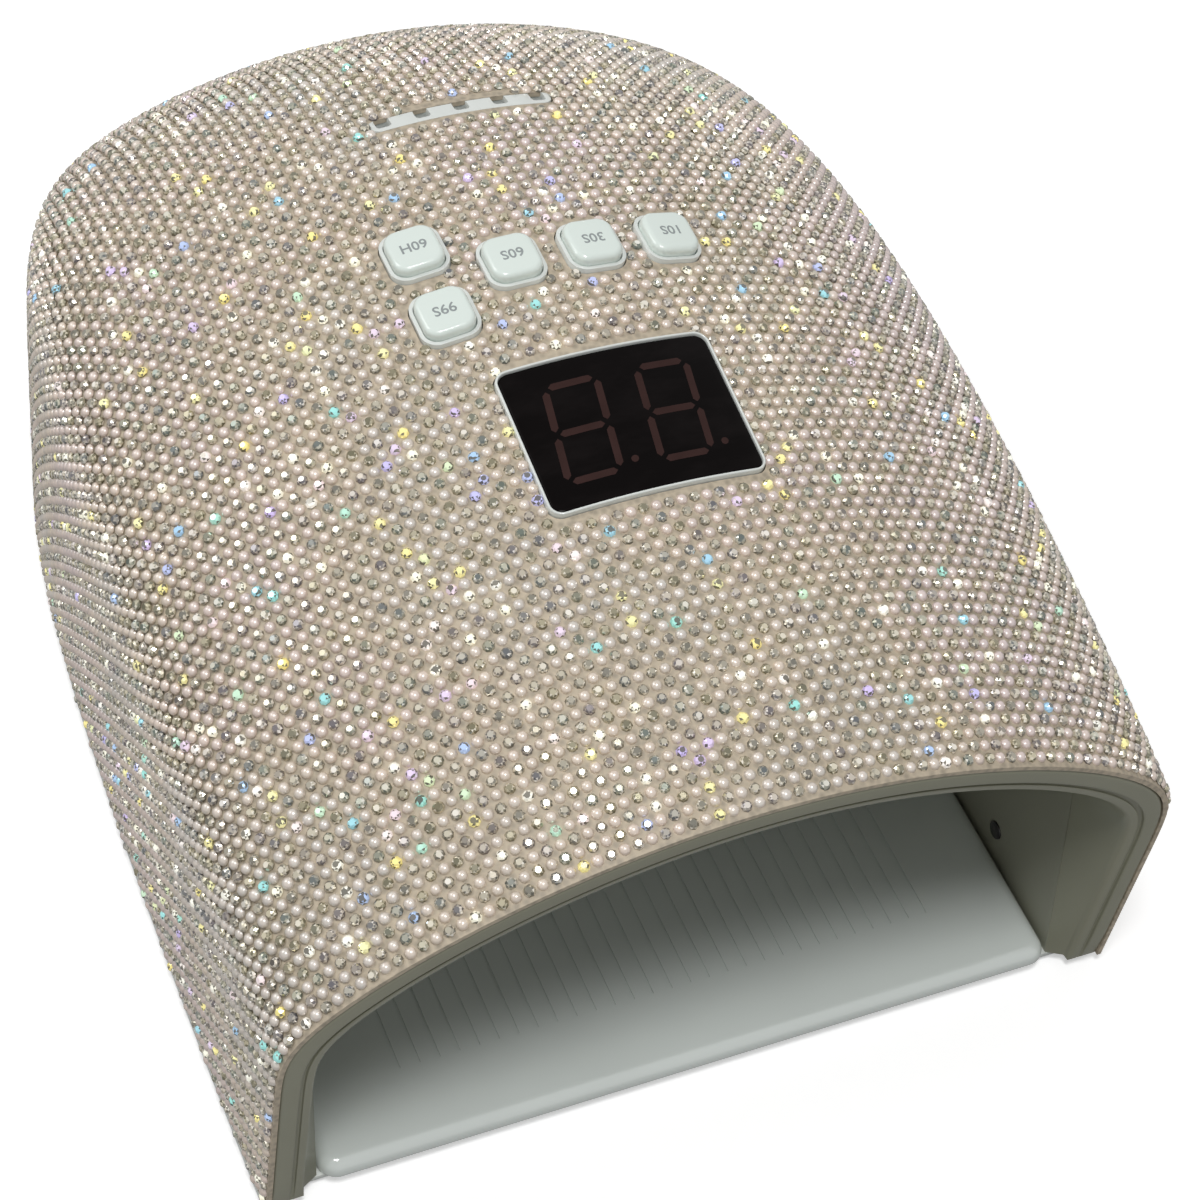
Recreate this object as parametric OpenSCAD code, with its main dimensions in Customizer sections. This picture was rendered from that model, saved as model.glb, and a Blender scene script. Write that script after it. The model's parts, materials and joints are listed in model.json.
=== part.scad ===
// Domed gel-nail curing lamp: crystal-covered housing, hand cavity, slide-out tray and timer keys.
// Millimetres. X runs across the lamp, -Y is the open front, +Z is up and Z = 0 is the table.

/* [Housing] */
// Width of the housing at its open front
housing_w = 200; // [185:1:240]
// Length of the housing from front to rear
housing_l = 245; // [225:1:280]
// Height of the front arch above the skirt
front_h = 101; // [92:1:120]
// Extra height the roof gains towards the rear
roof_rise = 86; // [76:1:96]
// How strongly the roof bends back down
roof_fall = 37; // [28:1:44]
// Drop of the roof from its middle to its shoulders at the front, as a share of the height
crown = 0.33; // [0.2:0.01:0.4]
// How much less the roof drops at the rear
crown_fade = 0.12; // [0:0.01:0.2]
// Sharpness of the two shoulders
shoulder = 7.3; // [6:0.1:10]
// Steepness of the side walls
steepness = 16; // [12:0.5:18]
// How much narrower the rear is than the front
taper = 3.6; // [0:0.2:8]
// Bulge of the sides in plan
bulge = 10; // [4:0.5:14]
// Thickness of the crystal sheet with its stones
sheet_t = 2.2; // [1.6:0.1:2.6]
// Wall of the outer shell
shell_t = 2; // [1.5:0.1:2.6]

/* [Front rim and hand cavity] */
// Thickness of the front rim's plate
rim_t = 3; // [2:0.5:4]
// Depth of the flared mouth
mouth_l = 26; // [20:1:32]
// Distance from the outer surface to the lip of the rim
lip_in = 9.6; // [9:0.2:11]
// Distance from the outer surface to the wall of the cavity
cavity_in = 13.4; // [12.6:0.2:16]
// Wall of the inner liner
liner_t = 1.8; // [1.4:0.1:2.4]
// Depth of the hand cavity
cavity_l = 168; // [150:1:176]

/* [Base] */
// Diameter of a rubber foot
foot_d = 12; // [8:0.5:14]
// Height of a rubber foot
foot_h = 1.5; // [1:0.1:3]
// Thickness of the base frame
base_t = 1.5; // [1.2:0.1:3]
// Thickness of the slide-out tray
tray_t = 4; // [3:0.2:6]
// Gap between the tray and the cavity walls
tray_gap = 0.5; // [0.3:0.1:1]
// Width of the ledge that carries the tray
ledge_w = 9; // [7:0.5:12]
// How far the tray slides out
tray_travel = 160; // [100:5:170]

/* [Display] */
// Width of the display window
window_w = 45; // [38:0.5:48]
// Length of the display window
window_l = 33; // [26:0.5:34]
// Distance of the window's middle behind the front
window_y = 83; // [79:1:87]
// Width of the white border around the window
border = 1; // [0.8:0.1:1.6]

/* [Keys] */
// Distance of the key row behind the front
key_y = 127; // [125:1:131]
// Distance between neighbouring keys
key_pitch = 17.8; // [16.8:0.2:19]
// Front-to-rear offset of the two stacked keys
key_stack = 9; // [8.4:0.2:10]
// Width of a key cap
key_w = 11; // [9.6:0.2:12]
// Length of a key cap
key_l = 11.4; // [9:0.2:11.6]
// Height of a key cap above the stones
key_up = 2; // [1:0.2:3]
// Travel of a key
key_travel = 0.8; // [0.4:0.1:0.8]
// Clearance around a key cap
key_gap = 0.2; // [0.15:0.05:0.3]

/* [Vent strip] */
// Distance of the vent strip behind the front
vent_y = 179; // [176:1:184]
// Length of the vent strip
vent_w = 42; // [41:1:48]
// Distance between neighbouring vent slots
slot_pitch = 9; // [7.6:0.2:9.2]
// Width of a vent slot
slot_w = 3.4; // [2.8:0.2:4.6]

/* [Lamps and power] */
// Diameter of an LED lens
led_d = 4.8; // [4:0.2:5]
// Distance between the LEDs over the roof of the cavity
led_pitch = 15; // [13:0.5:17]
// Diameter of a battery cell
cell_d = 18.4; // [18:0.1:18.6]
// Length of a battery cell
cell_l = 65; // [60:0.5:66]
// Bore of the charging socket
socket_d = 5.5; // [5:0.1:6.5]

/* [Hidden] */
$fn = 48;
eps = 0.01;

// ---- levels and depths ----
skirt_z = foot_h + base_t;
front_y = -housing_l / 2;
shell_in = sheet_t + shell_t;
mouth_end = front_y + mouth_l;
cavity_end = front_y + cavity_l;
plan_run = 6.2;
plan_round = 4.5;
roof_run = 1.5;
roof_round = 6;

// ---- the dome: every curved piece is cut from these three rules ----
function run(s, p, q) = s >= 1 ? 0 : pow(1 - pow(s, p), 1 / q);
function half_w(s) = (housing_w / 2 - taper * s + bulge * s * (1 - s)) * run(s, plan_run, plan_round);
function roof_h(s) = (front_h + roof_rise * s - roof_fall * s * s) * run(s, roof_run, roof_round);
function drop(s) = crown - crown_fade * s;
function share(y) = min(1, (y - front_y) / housing_l);
function along(s, d) = front_y + s * housing_l - d * pow(s, 3);

// A point of the arch d inside the outer surface, at angle t and distance share s.
function arch_x(s, t, d) = max(0, half_w(s) - d) * sign(cos(t)) * pow(abs(cos(t)), 2 / shoulder);
function arch_z(s, t, d) = skirt_z + max(0, roof_h(s) - d) * pow(abs(sin(t)), 2 / steepness)
    * (1 - drop(s) * pow(abs(cos(t)), 4 / shoulder));
function arch_point(s, t, d) = [arch_x(s, t, d), arch_z(s, t, d)];

// Angles from one skirt edge over the roof to the other, closer together near the middle.
half_steps = 18;
half_angles = concat([0, 1.2, 4, 8, 13], [for (i = [1 : half_steps]) 90 * (1 - pow(1 - i / half_steps, 4))]);
angles = concat(half_angles, [for (i = [len(half_angles) - 2 : -1 : 0]) 180 - half_angles[i]]);
rim_share = rim_t / housing_l;
long_steps = 26;
shares = concat([0, rim_share], [for (i = [1 : long_steps]) let (q = i / long_steps)
    rim_share + (1 - rim_share) * (1 - pow(1 - q, 1.9))]);

// Height and slope of the outer surface over a place in plan.
function roof_z(x, y) = let (s = share(y), u = abs(x) / half_w(s))
    skirt_z + roof_h(s) * (1 - drop(s) * u * u) * pow(1 - pow(u, shoulder), 1 / steepness);
function slope_x(x, y) = (roof_z(x + 0.5, y) - roof_z(x - 0.5, y));
function slope_y(x, y) = (roof_z(x, y + 0.5) - roof_z(x, y - 0.5));

// Places its children on the roof, their +Z along the surface's own normal.
module on_roof(x, y) {
    sx = slope_x(x, y);
    sy = slope_y(x, y);
    translate([x, y, roof_z(x, y)])
        multmatrix(tilt(sx, sy))
            children();
}
function unit(v) = v / norm(v);
function tilt(sx, sy) = let (n = unit([-sx, -sy, 1]), a = unit(cross([0, 1, 0], n)), b = cross(n, a))
    [[a[0], b[0], n[0], 0], [a[1], b[1], n[1], 0], [a[2], b[2], n[2], 0], [0, 0, 0, 1]];

// ---- shared shapes ----
// A skin of the dome between depths d1 and d2, from station first to the rear.
module dome_skin(d1, d2, first) {
    n = len(shares) - 1;
    m = len(angles);
    rows = n - first;
    outer = [for (i = [first : n - 1], t = angles) dome_point(i, t, d1)];
    inner = [for (i = [first : n - 1], t = angles) dome_point(i, t, d2)];
    poles = [dome_point(n, 90, d1), dome_point(n, 90, d2)];
    o = rows * m;
    p1 = 2 * o;
    p2 = 2 * o + 1;
    last = (rows - 1) * m;
    faces = concat(
        [for (i = [0 : rows - 2], j = [0 : m - 2]) let (a = i * m + j) each quad(a, a + 1, a + m + 1, a + m)],
        [for (i = [0 : rows - 2], j = [0 : m - 2]) let (a = o + i * m + j)
            each quad(a, a + m, a + m + 1, a + 1)],
        [for (j = [0 : m - 2]) [last + j, last + j + 1, p1]],
        [for (j = [0 : m - 2]) [o + last + j + 1, o + last + j, p2]],
        [for (j = [0 : m - 2]) each quad(j + 1, j, o + j, o + j + 1)],
        [for (i = [0 : rows - 2]) let (a = i * m) each quad(a, a + m, o + a + m, o + a)],
        [for (i = [0 : rows - 2]) let (a = i * m + m - 1) each quad(a + m, a, o + a, o + a + m)],
        quad(last, p1, p2, o + last),
        quad(p1, last + m - 1, o + last + m - 1, p2));
    polyhedron(concat(outer, inner, poles), faces);
}
function quad(a, b, c, d) = [[a, b, c], [a, c, d]];
function dome_point(i, t, d) = let (s = shares[i], a = arch_point(s, t, d))
    [a[0], along(s, d), s >= 1 ? skirt_z : a[1]];

// Flat outline of the front arch at depth d, and the arch band between two depths.
module arch_outline(d) polygon([for (t = angles) arch_point(0, t, d)]);
module arch_band(d1, d2) {
    difference() {
        arch_outline(d1);
        arch_outline(d2);
        translate([-housing_w / 2, skirt_z - 5])
            square([housing_w, 5 + eps]);
    }
}
// Stands a flat X-Z outline up between two places along Y.
module stand(y1, y2) {
    translate([0, y2, 0])
        rotate([90, 0, 0])
            linear_extrude(y2 - y1)
                children();
}
// Plan outline of the dome at depth d.
plan_steps = 40;
function plan_side(d, side) = [for (i = [0 : plan_steps]) let (s = 1 - pow(1 - i / plan_steps, 2))
    [side * max(0, half_w(s) - d), along(s, d)]];
function reversed(v) = [for (i = [len(v) - 1 : -1 : 0]) v[i]];
module plan_outline(d) polygon(concat(plan_side(d, 1), [for (i = [1 : plan_steps])
    plan_side(d, -1)[plan_steps - i]]));

module round_rect(w, l, r) {
    square([w - 2 * r, l], center = true);
    square([w, l - 2 * r], center = true);
    for (x = [-1, 1], y = [-1, 1])
        translate([x * (w / 2 - r), y * (l / 2 - r)])
            circle(r);
}
module round_block(w, l, r, z1, z2) {
    translate([0, 0, z1])
        linear_extrude(z2 - z1)
            round_rect(w, l, r);
}
// A slab bent across X to the radius of the roof, its top at height z in the middle.
module bent_slab(radius, w, l, z, t) {
    translate([0, l / 2, z - radius])
        rotate([90, 0, 0])
            linear_extrude(l)
                intersection() {
                    difference() {
                        circle(radius, $fn = 360);
                        circle(radius - t, $fn = 360);
                    }
                    translate([-w / 2, radius * 0.8])
                        square([w, radius * 0.3]);
                }
}
function bend(w, y) = let (sag = roof_z(0, y) - roof_z(w / 2, y)) (w * w / 4 + sag * sag) / (2 * sag);

// ---- housing ----
window_at = front_y + window_y;
vent_at = front_y + vent_y;
key_row = front_y + key_y;
bezel_w = window_w + 2 * border;
bezel_l = window_l + 2 * border;
bezel_gap = 0.2;
cut_deep = 14;
key_r = 3;
collar_t = 0.8;
vent_l = 6;
vent_r = 2.4;
socket_z = skirt_z + 12;
socket_r = 5;
flange_r = 6.4;

key_x = [for (i = [-1.5, -0.5, 0.5, 1.5]) i * key_pitch];
KEYS = [[key_x[0], key_row + key_stack], [key_x[1], key_row], [key_x[2], key_row], [key_x[3], key_row],
    [key_x[0], key_row - key_stack]];

module roof_openings(extra) {
    on_roof(0, window_at)
        round_block(bezel_w + 2 * extra, bezel_l + 2 * extra, 3, -cut_deep, 5);
    for (k = KEYS)
        on_roof(k[0], k[1])
            round_block(collar_w + 2 * extra, collar_l + 2 * extra, key_r + collar_t, -cut_deep, 5);
    on_roof(0, vent_at)
        round_block(vent_w + 2 * extra, vent_l + 2 * extra, vent_r, -cut_deep, 5);
}
module outer_shell() {
    color("white")
        difference() {
            dome_skin(sheet_t, shell_in, 1);
            roof_openings(bezel_gap);
            socket_hole(socket_r + bezel_gap);
        }
}
module crystal_sheet() {
    color("pink")
        difference() {
            dome_skin(0, sheet_t, 0);
            roof_openings(bezel_gap);
            socket_hole(flange_r + bezel_gap);
        }
}
module socket_hole(r) {
    translate([0, housing_l / 2 - 20, socket_z])
        rotate([-90, 0, 0])
            cylinder(h = 40, r = r);
}

// ---- front rim: one profile swept over the arch; each corner is [depth below the surface, y] ----
rim_groove = 1;
funnel_l = rim_t + 1.5;
// Distance from the front to the end of the rim's funnel, which grows with height.
function funnel(z) = funnel_l + (mouth_l - funnel_l) * (z - skirt_z) / (front_h - cavity_in);
RIM = [[sheet_t + 0.6, 0], [lip_in - 3.4, 0], [lip_in - 3.4, rim_groove], [lip_in - 2.4, rim_groove],
    [lip_in - 2.4, 0.4], [lip_in - 0.6, 0.8], [lip_in, 2], [cavity_in, mouth_l],
    [cavity_in - liner_t, mouth_l], [lip_in - liner_t, rim_t], [sheet_t, rim_t], [sheet_t, 0.6]];
module front_rim() {
    k = len(RIM);
    m = len(angles);
    points = [for (t = angles, c = RIM) let (a = arch_point(0, t, c[0]))
        [a[0], front_y + (c[1] > rim_t ? funnel(a[1]) : c[1]), a[1]]];
    faces = concat(
        [for (j = [0 : m - 2], i = [0 : k - 1]) let (n = (i + 1) % k)
            each quad(j * k + i, j * k + n, (j + 1) * k + n, (j + 1) * k + i)],
        [[for (i = [k - 1 : -1 : 0]) i]],
        [[for (i = [0 : k - 1]) (m - 1) * k + i]]);
    color("gainsboro")
        polyhedron(points, faces);
}

// ---- liner ----
liner_out = cavity_in - liner_t;
board_y = cavity_end + liner_t + 5;
board_t = 1.6;
main_w = 100;
main_h = 60;
main_z = skirt_z + 50;
main_hole_x = main_w / 2 - 6;
main_hole_z = main_h / 2 - 6;
screw_r = 1.25;
boss_r = 2.6;
boss_h = 10;
boss_x = housing_w / 2 - liner_out + boss_r + 0.1;
boss_ys = [mouth_end + 20, mouth_end + 64, mouth_end + 108];
sensor_r = 2.2;
sensor_y = front_y + 33;
sensor_z = skirt_z + 9;
led_hole_gap = 0.1;
led_rows = [mouth_end + 22, mouth_end + 68, mouth_end + 114];
led_side_z = [22, 46];
led_roof_n = 4;

// Angle of the arch at depth d where it passes a given x, or a given height above the skirt.
function angle_at_x(x, d) = acos(pow(abs(x) / (housing_w / 2 - d), shoulder / 2));
function angle_at_z(z, d) = asin(pow(z / ((front_h - d) * (1 - crown)), steepness / 2));
function led_angles(d) = let (side = [for (z = led_side_z) max(0.02, angle_at_z(z, d))],
    roof = [for (i = [led_roof_n : -1 : 1]) angle_at_x(i * led_pitch, d)], half = concat(side, roof))
    concat(half, [90], [for (i = [len(half) - 1 : -1 : 0]) 180 - half[i]]);

// Puts its children at each LED of a hoop, their +Z pointing into the cavity.
module at_leds(y) {
    for (t = led_angles(liner_out)) {
        p = arch_point(0, t, liner_out);
        a = arch_point(0, max(0, t - 0.01), liner_out);
        b = arch_point(0, min(180, t + 0.01), liner_out);
        turn = atan2(b[1] - a[1], b[0] - a[0]);
        translate([p[0], y, p[1]])
            rotate([0, -turn, 0])
                children();
    }
}
module inner_liner() {
    color("white")
        difference() {
            union() {
                difference() {
                    stand(front_y + rim_t, cavity_end)
                        arch_band(liner_out, cavity_in);
                    translate([-housing_w, 0, 0])
                        rotate([90, 0, 90])
                            linear_extrude(2 * housing_w)
                                polygon([[front_y - 1, skirt_z - 1], [front_y + funnel(skirt_z - 1), skirt_z - 1],
                                    [front_y + funnel(front_h + 9), front_h + 9], [front_y - 1, front_h + 9]]);
                }
                stand(cavity_end, cavity_end + liner_t)
                    arch_outline(liner_out);
                for (side = [-1, 1], y = boss_ys)
                    translate([side * boss_x, y, skirt_z]) {
                        cylinder(h = boss_h, r = boss_r);
                        translate([-side * boss_r, 0, boss_h / 2])
                            cube([2, 2, boss_h], center = true);
                    }
                for (x = [-1, 1], z = [-1, 1])
                    translate([x * main_hole_x, cavity_end + liner_t, main_z + z * main_hole_z])
                        rotate([-90, 0, 0])
                            cylinder(h = board_y - cavity_end - liner_t, r = boss_r);
            }
            for (y = led_rows)
                at_leds(y)
                    translate([0, 0, -1])
                        cylinder(h = liner_t + 3, r = led_d / 2 + led_hole_gap);
            for (x = rear_led_x)
                translate([x, cavity_end - 1, rear_led_z])
                    rotate([-90, 0, 0])
                        cylinder(h = liner_t + 2, r = led_d / 2 + led_hole_gap);
            for (side = [-1, 1], y = boss_ys)
                translate([side * boss_x, y, skirt_z - 1])
                    cylinder(h = boss_h, r = screw_r + 0.05);
            for (x = [-1, 1], z = [-1, 1])
                translate([x * main_hole_x, board_y - 4, main_z + z * main_hole_z])
                    rotate([-90, 0, 0])
                        cylinder(h = 5, r = screw_r + 0.05);
            translate([housing_w / 2 - liner_out - 6, sensor_y, sensor_z])
                rotate([0, 90, 0])
                    cylinder(h = 8, r = sensor_r + led_hole_gap);
        }
}

// ---- base ----
tray_w = housing_w - 2 * cavity_in - 2 * tray_gap;
tray_lip = 2.3;
tray_corner = 4.5;
base_in = 1;
base_setback = 4.2;
rib_in = shell_in + 0.4;
rib_t = 1.4;
rib_h = 2.5;
magnet_w = 20;
magnet_l = 4;
magnet_x = 55;
magnet_gap = 0.1;
rear_bar = 10;
module base_frame() {
    well_w = tray_w - 2 * ledge_w;
    color("white")
        difference() {
            union() {
                translate([0, 0, foot_h])
                    linear_extrude(base_t)
                        difference() {
                            plan_outline(base_in);
                            translate([-housing_w, front_y - 1])
                                square([2 * housing_w, base_setback + 1]);
                        }
                translate([0, 0, skirt_z])
                    linear_extrude(rib_h)
                        difference() {
                            plan_outline(rib_in);
                            plan_outline(rib_in + rib_t);
                            translate([-housing_w, front_y - 1])
                                square([2 * housing_w, mouth_l + 3]);
                        }
                translate([0, cavity_end + rear_bar / 2 + liner_t + 0.2, skirt_z])
                    translate([-magnet_x - magnet_w, -rear_bar / 2, 0])
                        cube([2 * (magnet_x + magnet_w), rear_bar, rib_h]);
            }
            translate([-well_w / 2, front_y + base_setback + ledge_w, foot_h - 1])
                cube([well_w, cavity_l - base_setback - 2 * ledge_w + 2, base_t + 2]);
            for (side = [-1, 1], y = boss_ys)
                translate([side * boss_x, y, foot_h - 1])
                    cylinder(h = base_t + 2, r = screw_r + 0.3);
            for (side = [-1, 1])
                translate([side * magnet_x - magnet_w / 2 - magnet_gap, cavity_end + liner_t + 0.6, skirt_z + 0.4])
                    cube([magnet_w + 2 * magnet_gap, magnet_l + 2 * magnet_gap, rib_h]);
        }
}
tray_front = front_y + tray_lip;
tray_rear = cavity_end - 0.3;
module tray_plan() {
    half = tray_w / 2;
    c = tray_corner;
    union() {
        translate([-half, tray_front + c])
            square([tray_w, tray_rear - tray_front - c]);
        translate([-half + c, tray_front])
            square([tray_w - 2 * c, c + 0.5]);
        for (side = [-1, 1])
            translate([side * (half - c), tray_front + c])
                circle(c);
    }
}
module base_tray() {
    nose = min(tray_t - 0.4, 4);
    color("white")
        difference() {
            intersection() {
                translate([-housing_w / 2, 0, 0])
                    rotate([90, 0, 90])
                        linear_extrude(housing_w)
                            union() {
                                translate([tray_front + nose, skirt_z + tray_t - nose])
                                    circle(nose);
                                translate([tray_front, skirt_z])
                                    square([tray_rear - tray_front, tray_t - nose]);
                                translate([tray_front + nose, skirt_z])
                                    square([tray_rear - tray_front - nose, tray_t]);
                            }
                translate([0, 0, skirt_z])
                    linear_extrude(tray_t + 1)
                        tray_plan();
            }
            for (side = [-1, 1])
                translate([side * magnet_x - magnet_w / 2 - magnet_gap, tray_rear - magnet_l - 1 - 2 * magnet_gap,
                    skirt_z - 1])
                    cube([magnet_w + 2 * magnet_gap, magnet_l + 2 * magnet_gap, 3]);
        }
}
module tray_magnets() {
    color("silver")
        for (side = [-1, 1])
            translate([side * magnet_x - magnet_w / 2, tray_rear - magnet_l - 1 - magnet_gap, skirt_z])
                cube([magnet_w, magnet_l, 1.9]);
}
module frame_magnets() {
    color("silver")
        for (side = [-1, 1])
            translate([side * magnet_x - magnet_w / 2, cavity_end + liner_t + 0.6 + magnet_gap, skirt_z + 0.4])
                cube([magnet_w, magnet_l, 2]);
}
foot_x = housing_w / 2 - 10;
foot_ys = [front_y + 12, housing_l / 2 - 60];
module rubber_feet() {
    color("dimgray")
        for (side = [-1, 1], y = foot_ys)
            translate([side * (y < 0 ? foot_x : foot_x - 12), y, 0])
                cylinder(h = foot_h, r = foot_d / 2);
}
module base_screws() {
    color("silver")
        for (side = [-1, 1], y = boss_ys)
            translate([side * boss_x, y, foot_h - 0.9]) {
                cylinder(h = 0.9, r = 2.6);
                cylinder(h = base_t + 0.9 + 6, r = screw_r);
            }
}

// ---- display ----
window_bend = bend(window_w, window_at);
window_drop = 0.7;
window_t = 1.6;
bezel_drop = 0.2;
ledge_in = 1;
module_top = -5.2;
module_h = 6;
module_w = window_w - 6;
module_l = window_l - 5;
module display_bezel() {
    color("white")
        on_roof(0, window_at)
            difference() {
                intersection() {
                    bent_slab(window_bend, bezel_w + 2, bezel_l + 2, -bezel_drop, shell_in + 0.6);
                    round_block(bezel_w, bezel_l, 3, -20, 5);
                }
                intersection() {
                    bent_slab(window_bend, window_w + 2, window_l + 2, 2, 2 + window_drop + window_t);
                    round_block(window_w, window_l, 2.2, -20, 5);
                }
                round_block(window_w - 2 * ledge_in, window_l - 2 * ledge_in, 1.6, -20, 5);
            }
}
module display_window() {
    color([0.02, 0.02, 0.03])
        on_roof(0, window_at)
            intersection() {
                bent_slab(window_bend, window_w + 2, window_l + 2, -window_drop, window_t);
                round_block(window_w - 0.1, window_l - 0.1, 2.2, -20, 5);
            }
}
module display_module() {
    color("dimgray")
        on_roof(0, window_at)
            round_block(module_w, module_l, 0.8, module_top - module_h, module_top);
}
post_w = 2.4;
module display_board() {
    board_top = module_top - module_h;
    post_x = window_w / 2 + 0.4 - post_w / 2;
    color("darkgreen")
        on_roof(0, window_at)
            union() {
                round_block(window_w + 2, window_l, 1, board_top - board_t, board_top);
                for (side = [-1, 1])
                    translate([side * post_x, 0, board_top + (bezel_bottom(post_x) - board_top) / 2])
                        cube([post_w, 10, bezel_bottom(post_x) - board_top + 2 * eps], center = true);
            }
}
// Height of the bezel's underside at a distance across the window.
function bezel_bottom(x) = -bezel_drop - window_bend + sqrt(pow(window_bend - shell_in - 0.6, 2)
    - pow(abs(x) + post_w / 2, 2));

// ---- keys ----
collar_w = key_w + 2 * key_gap + 2 * collar_t;
collar_l = key_l + 2 * key_gap + 2 * collar_t;
carrier_t = 1.5;
switch_h = 3.5;
carrier_w = 3 * key_pitch + collar_w + 5;
carrier_l = 2 * key_stack + collar_l + 4;
module on_keys() on_roof(0, key_row) children();
// How far the roof lies above the carrier's own frame at a place.
key_tilt = [slope_x(0, key_row), slope_y(0, key_row)];
function below_roof(k) = let (n = unit([-key_tilt[0], -key_tilt[1], 1]))
    ([k[0], k[1], roof_z(k[0], k[1])] - [0, key_row, roof_z(0, key_row)]) * n;
corners = [for (x = [-1, 1], y = [-1, 1]) [x * carrier_w / 2, key_row + y * carrier_l / 2]];
carrier_top = min([for (c = corners) below_roof(c)]) - shell_in - 0.5;
key_board_top = carrier_top - carrier_t - 4.9;
switch_top = key_board_top + switch_h;
function stem_foot(k) = switch_top + key_travel + 0.15 - below_roof(k);
module key_carrier() {
    color("white")
        difference() {
            union() {
                on_keys()
                    round_block(carrier_w, carrier_l, 4, carrier_top - carrier_t, carrier_top);
                intersection() {
                    for (k = KEYS)
                        on_roof(k[0], k[1])
                            round_block(collar_w, collar_l, key_r + collar_t, -cut_deep, -bezel_drop);
                    on_keys()
                        translate([-carrier_w, -carrier_l, carrier_top - 0.2])
                            cube([2 * carrier_w, 2 * carrier_l, 20]);
                }
                on_keys()
                    for (x = [-1, 1], y = [-1, 1])
                        translate([x * post_x, y * post_y, key_board_top])
                            cylinder(h = carrier_top - carrier_t - key_board_top + 0.2, r = 2.4);
            }
            for (k = KEYS)
                on_roof(k[0], k[1])
                    round_block(key_w + 2 * key_gap, key_l + 2 * key_gap, key_r, -cut_deep - 5, 5);
            on_keys()
                for (x = [-1, 1], y = [-1, 1])
                    translate([x * post_x, y * post_y, key_board_top - 1])
                        cylinder(h = 5, r = 0.85);
        }
}
post_x = carrier_w / 2 - 3.2;
post_y = carrier_l / 2 - 2.8;
stem_r = 2;
module key(i) {
    k = KEYS[i];
    color("honeydew")
        on_roof(k[0], k[1])
            union() {
                round_block(key_w, key_l, key_r, -6.5, key_up - 0.6);
                round_block(key_w - 1.2, key_l - 1.2, key_r - 0.6, key_up - 0.7, key_up);
                translate([0, 0, stem_foot(k)])
                    cylinder(h = -6 - stem_foot(k), r = stem_r);
            }
}
module key_60h() key(0);
module key_60s() key(1);
module key_30s() key(2);
module key_10s() key(3);
module key_99s() key(4);
module key_switches() {
    color("black")
        on_keys()
            for (k = KEYS)
                translate([k[0], k[1] - key_row, key_board_top + switch_h / 2])
                    cube([6, 6, switch_h], center = true);
}
module key_board() {
    color("darkgreen")
        on_keys()
            difference() {
                round_block(carrier_w - 1, carrier_l - 1, 3, key_board_top - board_t, key_board_top);
                for (x = [-1, 1], y = [-1, 1])
                    translate([x * post_x, y * post_y, key_board_top - 3])
                        cylinder(h = 4, r = 1);
            }
}
module key_board_screws() {
    color("silver")
        on_keys()
            for (x = [-1, 1], y = [-1, 1])
                translate([x * post_x, y * post_y, key_board_top - board_t - 1]) {
                    cylinder(h = 1, r = 1.8);
                    cylinder(h = board_t + 4, r = 0.8);
                }
}

// ---- vent strip ----
vent_bend = bend(vent_w, vent_at);
vent_drop = 1.3;
slot_n = 5;
slot_l = 3.4;
module vent_strip() {
    color("white")
        on_roof(0, vent_at)
            difference() {
                intersection() {
                    bent_slab(vent_bend, vent_w + 2, vent_l + 2, -vent_drop, shell_in - vent_drop + 0.8);
                    round_block(vent_w, vent_l, vent_r, -20, 5);
                }
                for (i = [0 : slot_n - 1])
                    translate([(i - (slot_n - 1) / 2) * slot_pitch, 0, 0])
                        round_block(slot_w, slot_l, 0.8, -20, 5);
            }
}

// ---- lamps ----
strip_l = 14;
strip_t = 1;
strip_foot = 14;
lens_seat = 0.15;
lens_rise = 1.2;
module led_strip(y) {
    color("white")
        stand(y - strip_l / 2, y + strip_l / 2)
            intersection() {
                arch_band(liner_out - strip_t, liner_out);
                translate([-housing_w / 2, skirt_z + strip_foot])
                    square([housing_w, 200]);
            }
}
module led_beads(y) {
    color("khaki")
        at_leds(y)
            rotate_extrude()
                lens_outline();
}
module lens_outline() polygon(concat([[0, lens_seat], [led_d / 2, lens_seat]], [for (a = [0 : 15 : 90])
    [led_d / 2 * cos(a), liner_t + 0.2 + lens_rise * sin(a)]]));
module led_strip_front() led_strip(led_rows[0]);
module led_strip_middle() led_strip(led_rows[1]);
module led_strip_rear() led_strip(led_rows[2]);
module led_beads_front() led_beads(led_rows[0]);
module led_beads_middle() led_beads(led_rows[1]);
module led_beads_rear() led_beads(led_rows[2]);
rear_led_x = [-25, 0, 25];
rear_led_z = skirt_z + 62;
module rear_led_board() {
    color("white")
        translate([-35, cavity_end + liner_t, rear_led_z - 6])
            cube([70, strip_t, 12]);
}
module rear_led_beads() {
    color("khaki")
        for (x = rear_led_x)
            translate([x, cavity_end + liner_t, rear_led_z])
                rotate([90, 0, 0])
                    rotate_extrude()
                        lens_outline();
}

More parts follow.
